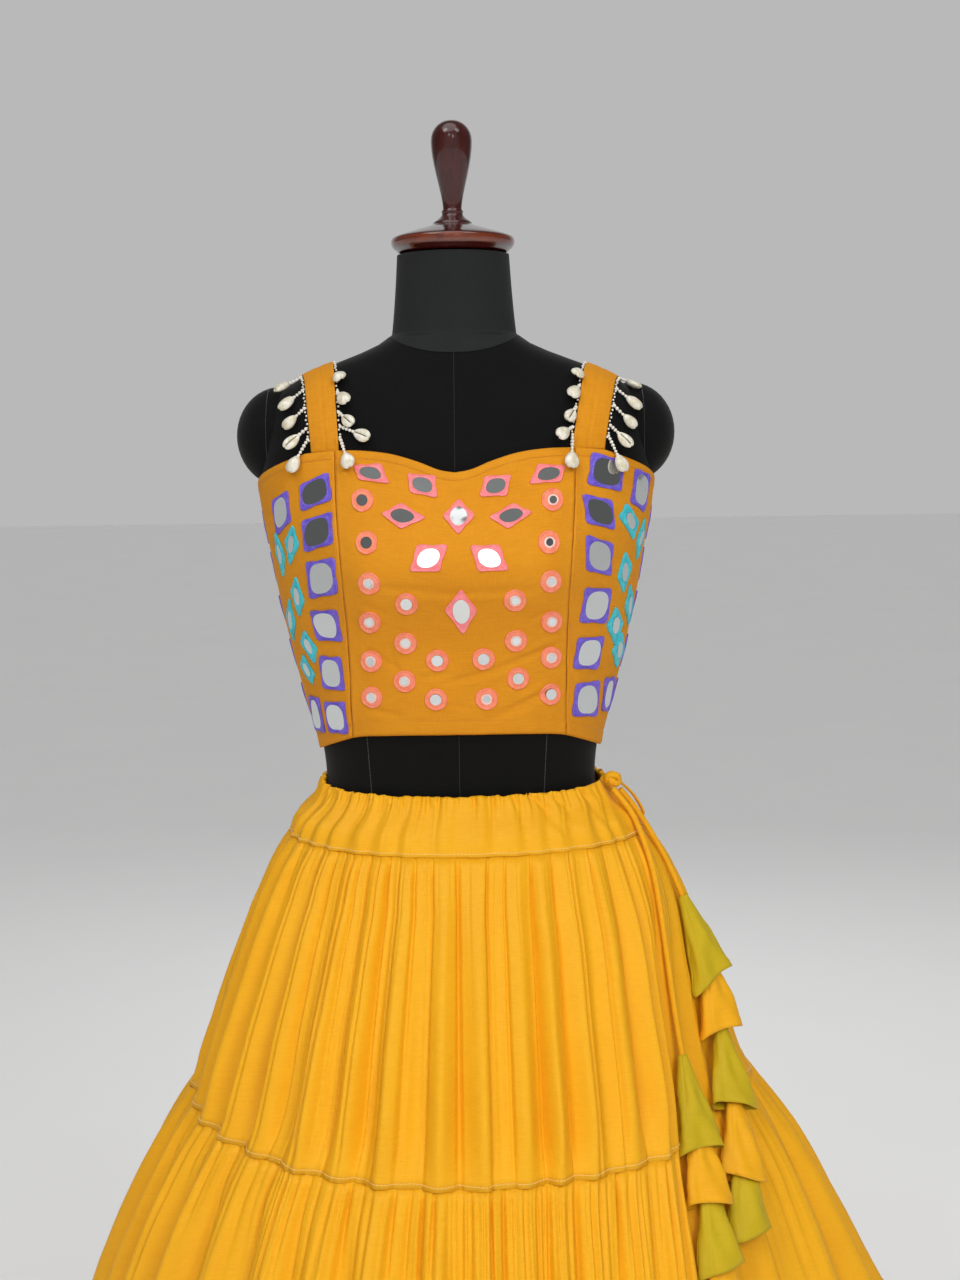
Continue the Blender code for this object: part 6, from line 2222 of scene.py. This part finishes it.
@dataclass(frozen=True)
class Latkan:
    """One cloth cone on a strand: way down the strand to its tip, extra length at its left edge, cloth."""

    tip: float
    longer_left: float
    finish: Finish
    length: float = 0.082
    # Share of the length, half width, half depth
    sections: Rows = (
        (0.0, 0.0044, 0.0044), (0.3, 0.0102, 0.0062), (0.65, 0.0164, 0.0086), (1.0, 0.0214, 0.0098))
    shift: float = 0.0025
    stand_off: float = 0.0014
    tip_flare: float = 0.004
    # The turned hem by a share of the length, and the seam by its angle
    hem_ridges: tuple[Ridge, ...] = (Ridge(0.0006, 0.93, 0.015), Ridge(-0.0004, 0.9, 0.012))
    seam_ridge: Ridge = Ridge(-0.0009, 0.9, 0.1)
    facing: Point = (0.45, -0.8, 0.4)
    wall: float = 0.0009

    def place(self, route: Route, seed: int, u: Array, v: Array) -> Array:
        """Points of the cone's cloth, with its wrinkles, hem and seam.

        Args:
            route: the strand that it is threaded on.
            seed: varies its wrinkles.
            u: share of the way round.
            v: share of the length, from the wide end to the tip.

        Returns:
            The points, one row each.
        """
        share, turn = 1 - v, u * 2 * math.pi
        at = self.tip + share * self.length
        centre, down = route.at(at), route.heading(at)
        leftwards = unit(np.cross(down, np.array(self.facing)))
        out = np.cross(leftwards, down)
        along, *halves = np.array(self.sections).T
        width, depth = (np.interp(share, along, half) for half in halves)
        wrinkle = 0.0011 * np.sin(3 * turn + 5 * share + seed)
        wrinkle = wrinkle + 0.0008 * np.sin(5 * turn - 7 * share + 2 * seed)
        wrinkle = wrinkle + 0.0005 * ripple(share * 0.08 + turn * 0.004, 0.006, 100 + seed)
        hem = sum(ridge.at(share) for ridge in self.hem_ridges)
        flare = self.tip_flare * share**2 * np.clip(-np.cos(turn), 0, 1) ** 2
        more = wrinkle * softened(share, 0.08, 0.6) + hem + self.seam_ridge.at(turn) + flare
        slant = self.longer_left * share * np.cos(turn) + 0.0016 * share**3 * np.sin(2 * turn + seed)
        centre = centre + leftwards * (self.shift * share)[:, None] + out * (self.stand_off * share)[:, None]
        return (centre + leftwards * ((width + more) * np.cos(turn))[:, None]
                + out * ((depth + more) * np.sin(turn))[:, None] + down * slant[:, None])

    def build(self, name: str, route: Route, seed: int) -> Piece:
        """Makes the cone.

        Args:
            name: of the piece, which stands for the CAD node of that name.
            route: the strand that it is threaded on.
            seed: varies its wrinkles.

        Returns:
            The piece.
        """
        shape = Shape(name + "_cloth")
        shape.grid(56, 26, partial(self.place, route, seed), (0.085, self.length))
        shape.weld()
        made = shape.piece(self.finish, Facing.FROM_OWN_AXIS, wall=self.wall)
        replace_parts(made, name)
        return made


@dataclass(frozen=True)
class Strand:
    """One hanging end of the drawstring: its way down from the knot and the cones on it."""

    side: str
    way: Rows
    latkans: tuple[Latkan, ...]


OUTER_STRAND = Strand(
    "outer",
    (
        (0.1457, -0.034, 1.0414), (0.157, -0.0319, 1.0272), (0.1682, -0.0305, 1.0102),
        (0.1795, -0.0317, 0.9908), (0.1901, -0.0343, 0.9704), (0.1993, -0.0363, 0.9488),
        (0.2081, -0.0388, 0.9266), (0.2166, -0.0429, 0.9034), (0.2237, -0.0479, 0.879),
        (0.2291, -0.0545, 0.8541), (0.2333, -0.0639, 0.8291), (0.2368, -0.0772, 0.8037),
        (0.2396, -0.0948, 0.7789), (0.2418, -0.1151, 0.7554), (0.2431, -0.1347, 0.733),
        (0.2433, -0.1504, 0.7105), (0.2435, -0.1636, 0.6881), (0.244, -0.177, 0.665),
    ),
    (Latkan(0.115, 0.0095, OLIVE), Latkan(0.162, 0.005, RAYON), Latkan(0.231, 0.0, OLIVE),
     Latkan(0.295, -0.002, RAYON), Latkan(0.343, 0.007, OLIVE)))
INNER_STRAND = Strand(
    "inner",
    (
        (0.1388, -0.041, 1.0429), (0.1477, -0.0453, 1.0324), (0.1558, -0.0502, 1.021),
        (0.1617, -0.0553, 1.0078), (0.167, -0.0625, 0.9925), (0.1722, -0.0715, 0.9734),
        (0.1761, -0.0801, 0.9502), (0.1794, -0.089, 0.9233), (0.1826, -0.0989, 0.8938),
        (0.186, -0.1098, 0.8629), (0.1899, -0.1217, 0.8324), (0.1944, -0.1344, 0.8041),
        (0.1988, -0.1477, 0.7781), (0.2024, -0.1612, 0.7546), (0.2053, -0.1741, 0.7333),
        (0.2079, -0.1863, 0.7124), (0.2109, -0.198, 0.6906), (0.2143, -0.2088, 0.6679),
        (0.2174, -0.2186, 0.645), (0.2199, -0.228, 0.6223), (0.2222, -0.2373, 0.5999),
        (0.2244, -0.2466, 0.5779), (0.2266, -0.256, 0.556),
    ),
    (Latkan(0.246, 0.003, OLIVE), Latkan(0.291, 0.0, RAYON), Latkan(0.344, 0.006, OLIVE),
     Latkan(0.393, 0.001, RAYON), Latkan(0.44, 0.005, OLIVE)))


@dataclass
class Drawstring:
    """The knot and the two hanging ends, each with five cloth cones."""

    strands: tuple[Strand, ...] = (OUTER_STRAND, INNER_STRAND)
    diameter: float = 0.0056
    # How far the cord ends short of its way's end, and how far apart its points lie
    short_of_end: float = 0.045
    step: float = 0.008
    stop_radii: tuple[float, float] = (0.0042, 0.0036)
    knot_centre: Point = (0.1385, -0.035, 1.0515)
    knot_radii: Point = (0.006076, 0.00527, 0.004836)
    knot_cord: float = 0.0029
    # How flat and how wide the cord is pressed there, and the height and closeness of its crimps
    knot_pressed: tuple[float, float] = (0.8, 1.15)
    knot_crimps: tuple[float, float] = (0.07, 900.0)
    # Two turns of the cord round the knot's middle, measured from it
    knot_ways: tuple[Rows, ...] = (
        ((-0.005, -0.002, -0.004), (-0.0058, -0.004, 0.002), (-0.001, -0.005, 0.0048),
         (0.0045, -0.003, 0.003), (0.0058, 0.001, -0.0025), (0.001, 0.004, -0.0046)),
        ((-0.0056, 0.002, 0.003), (-0.003, -0.0048, 0.0002), (0.0015, -0.0058, -0.0034),
         (0.0054, -0.0022, -0.004), (0.006, 0.003, 0.001), (0.0, 0.005, 0.004)),
    )
    loop_way: Rows = (
        (0.14, -0.034, 1.05), (0.148, -0.026, 1.045), (0.1585, -0.019, 1.034), (0.167, -0.015, 1.02),
        (0.1695, -0.013, 1.012))
    # The flat loop's half width and half thickness
    loop_half: tuple[float, float] = (0.0032, 0.0013)

    def build(self) -> None:
        """Makes the strands with their cones, and the knot."""
        for number, strand in enumerate(self.strands):
            route = Route(strand.way)
            length = route.length - self.short_of_end
            cord = self.cord(strand.side, route, length)
            cones = [latkan.build(f"latkan_{strand.side}_{k}", route, 7 * number + k)
                     for k, latkan in enumerate(strand.latkans, start=1)]
            stop = self.stop_knot(strand.side, route, length)
        self.knot()

    def cord(self, side: str, route: Route, length: float) -> Piece:
        """One hanging end as a curve.

        Args:
            side: of the strand, which names the CAD node that the cord stands for.
            route: its way from the knot.
            length: of the cord on it.

        Returns:
            The piece.
        """
        data = bpy.data.curves.new(f"drawstring_{side}_cord", "CURVE")
        data.dimensions = "3D"
        data.bevel_depth = self.diameter / 2
        data.bevel_resolution = 3
        data.use_fill_caps = True
        spline = data.splines.new("POLY")
        count = round(length / self.step) + 1
        spline.points.add(count - 1)
        for point, place in zip(spline.points, route.at(np.linspace(0, length, count))):
            point.co = (*place, 1.0)
        data.materials.append(CORD_RAYON.made())
        made = bpy.data.objects.new(data.name, data)
        bpy.context.scene.collection.objects.link(made)
        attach(made, BODY)
        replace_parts(made, "drawstring_" + side)
        return made

    def stop_knot(self, side: str, route: Route, length: float) -> Piece:
        """The small knot inside the last cone that keeps it on its strand."""
        shape = Shape(f"drawstring_{side}_stop_knot")
        centre, down = route.at(length - 0.002), route.heading(length)
        wide = unit(np.cross(down, (0, 0.3, 1)))
        aside, tall = self.stop_radii
        shape.ball(centre, np.stack([wide * aside, np.cross(down, wide) * aside, down * tall]), 14, 10)
        return shape.piece(CORD_RAYON)

    def wound(self, wrap: Route, u: Array, v: Array) -> Array:
        """Points of one turn of the cord round the knot's middle.

        Args:
            wrap: the turn's way.
            u: share of the way round the cord.
            v: share of the turn's length.

        Returns:
            The points, one row each.
        """
        at = v * wrap.length
        middle, down = wrap.at(at), wrap.heading(at, 0.001)
        wide = unit(middle - np.array(self.knot_centre))
        wide = unit(wide - down * np.sum(wide * down, axis=1, keepdims=True))
        aside, turn = np.cross(wide, down), u * 2 * math.pi
        thick = self.knot_cord * np.sqrt(np.clip(1 - np.abs(2 * v - 1) ** 10, 0.02, 1))
        (rise, close), (flat, broad) = self.knot_crimps, self.knot_pressed
        thick = thick * (1 + rise * np.sin(3 * turn + close * at))
        return (middle + wide * (flat * thick * np.cos(turn))[:, None]
                + aside * (broad * thick * np.sin(turn))[:, None])

    def looped(self, route: Route, u: Array, v: Array) -> Array:
        """Points of the knot's flat loop, by the share round it and the share of its length."""
        at, turn = v * route.length, u * 2 * math.pi
        middle, down = route.at(at), route.heading(at, 0.003)
        wide = unit(np.cross(down, np.array((0.8, 0.2, 0.5))))
        thick = np.cross(wide, down)
        narrow = np.sqrt(np.clip(1 - np.abs(2 * v - 1) ** 8, 0.02, 1))
        aside, out = (half * narrow for half in self.loop_half)
        return (middle + wide * (aside * signed_power(np.cos(turn), 0.7))[:, None]
                + thick * (out * signed_power(np.sin(turn), 0.7))[:, None])

    def knot(self) -> None:
        """The knot on the waistband's edge with its flat loop."""
        shape = Shape("drawstring_knot_cloth")
        centre = np.array(self.knot_centre)
        shape.ball(centre, np.diag(self.knot_radii), 20, 14)
        for way in self.knot_ways:
            wrap = Route([centre + np.array(point) for point in way], 8)
            shape.grid(18, 36, partial(self.wound, wrap), (0.018, wrap.length))
        loop = Route(self.loop_way)
        shape.grid(16, 28, partial(self.looped, loop), (0.012, loop.length))
        shape.weld()
        ends = [edge for edge in shape.mesh.edges if edge.is_boundary]
        bmesh.ops.holes_fill(shape.mesh, edges=ends, sides=0)
        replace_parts(shape.piece(CORD_RAYON), "drawstring_knot")


# The whole scene


def dress_stand(nodes: dict) -> None:
    """Gives the stand's CAD nodes their powder coat."""
    for name in ("stand_pole", "stand_base"):
        node = nodes[name]
        node.material_slots[0].link = "OBJECT"
        node.material_slots[0].material = STEEL.made()


def main() -> None:
    """Builds the scene piece by piece."""
    logging.basicConfig(level=logging.INFO, format="%(message)s")
    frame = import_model()
    studio = Studio()
    studio.build_camera()
    LOG.info("drawstring")
    Drawstring().build()
    studio.build_light()
    LOG.info("dress form")
    body = Body()
    DressForm(body).build()
    dress_stand(frame["nodes"])
    LOG.info("choli")
    choli = Choli(body)
    panels = choli.build()
    work = MirrorWork(choli).build()
    for panel, description in zip(panels, choli.panels()):
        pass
    for layout in (LEFT_STRAP, RIGHT_STRAP):
        strap = Strap(body, layout)
        strap.build()
    LOG.info("lehenga")
    Lehenga(SkirtForm()).build()


if __name__ == "__main__":
    main()
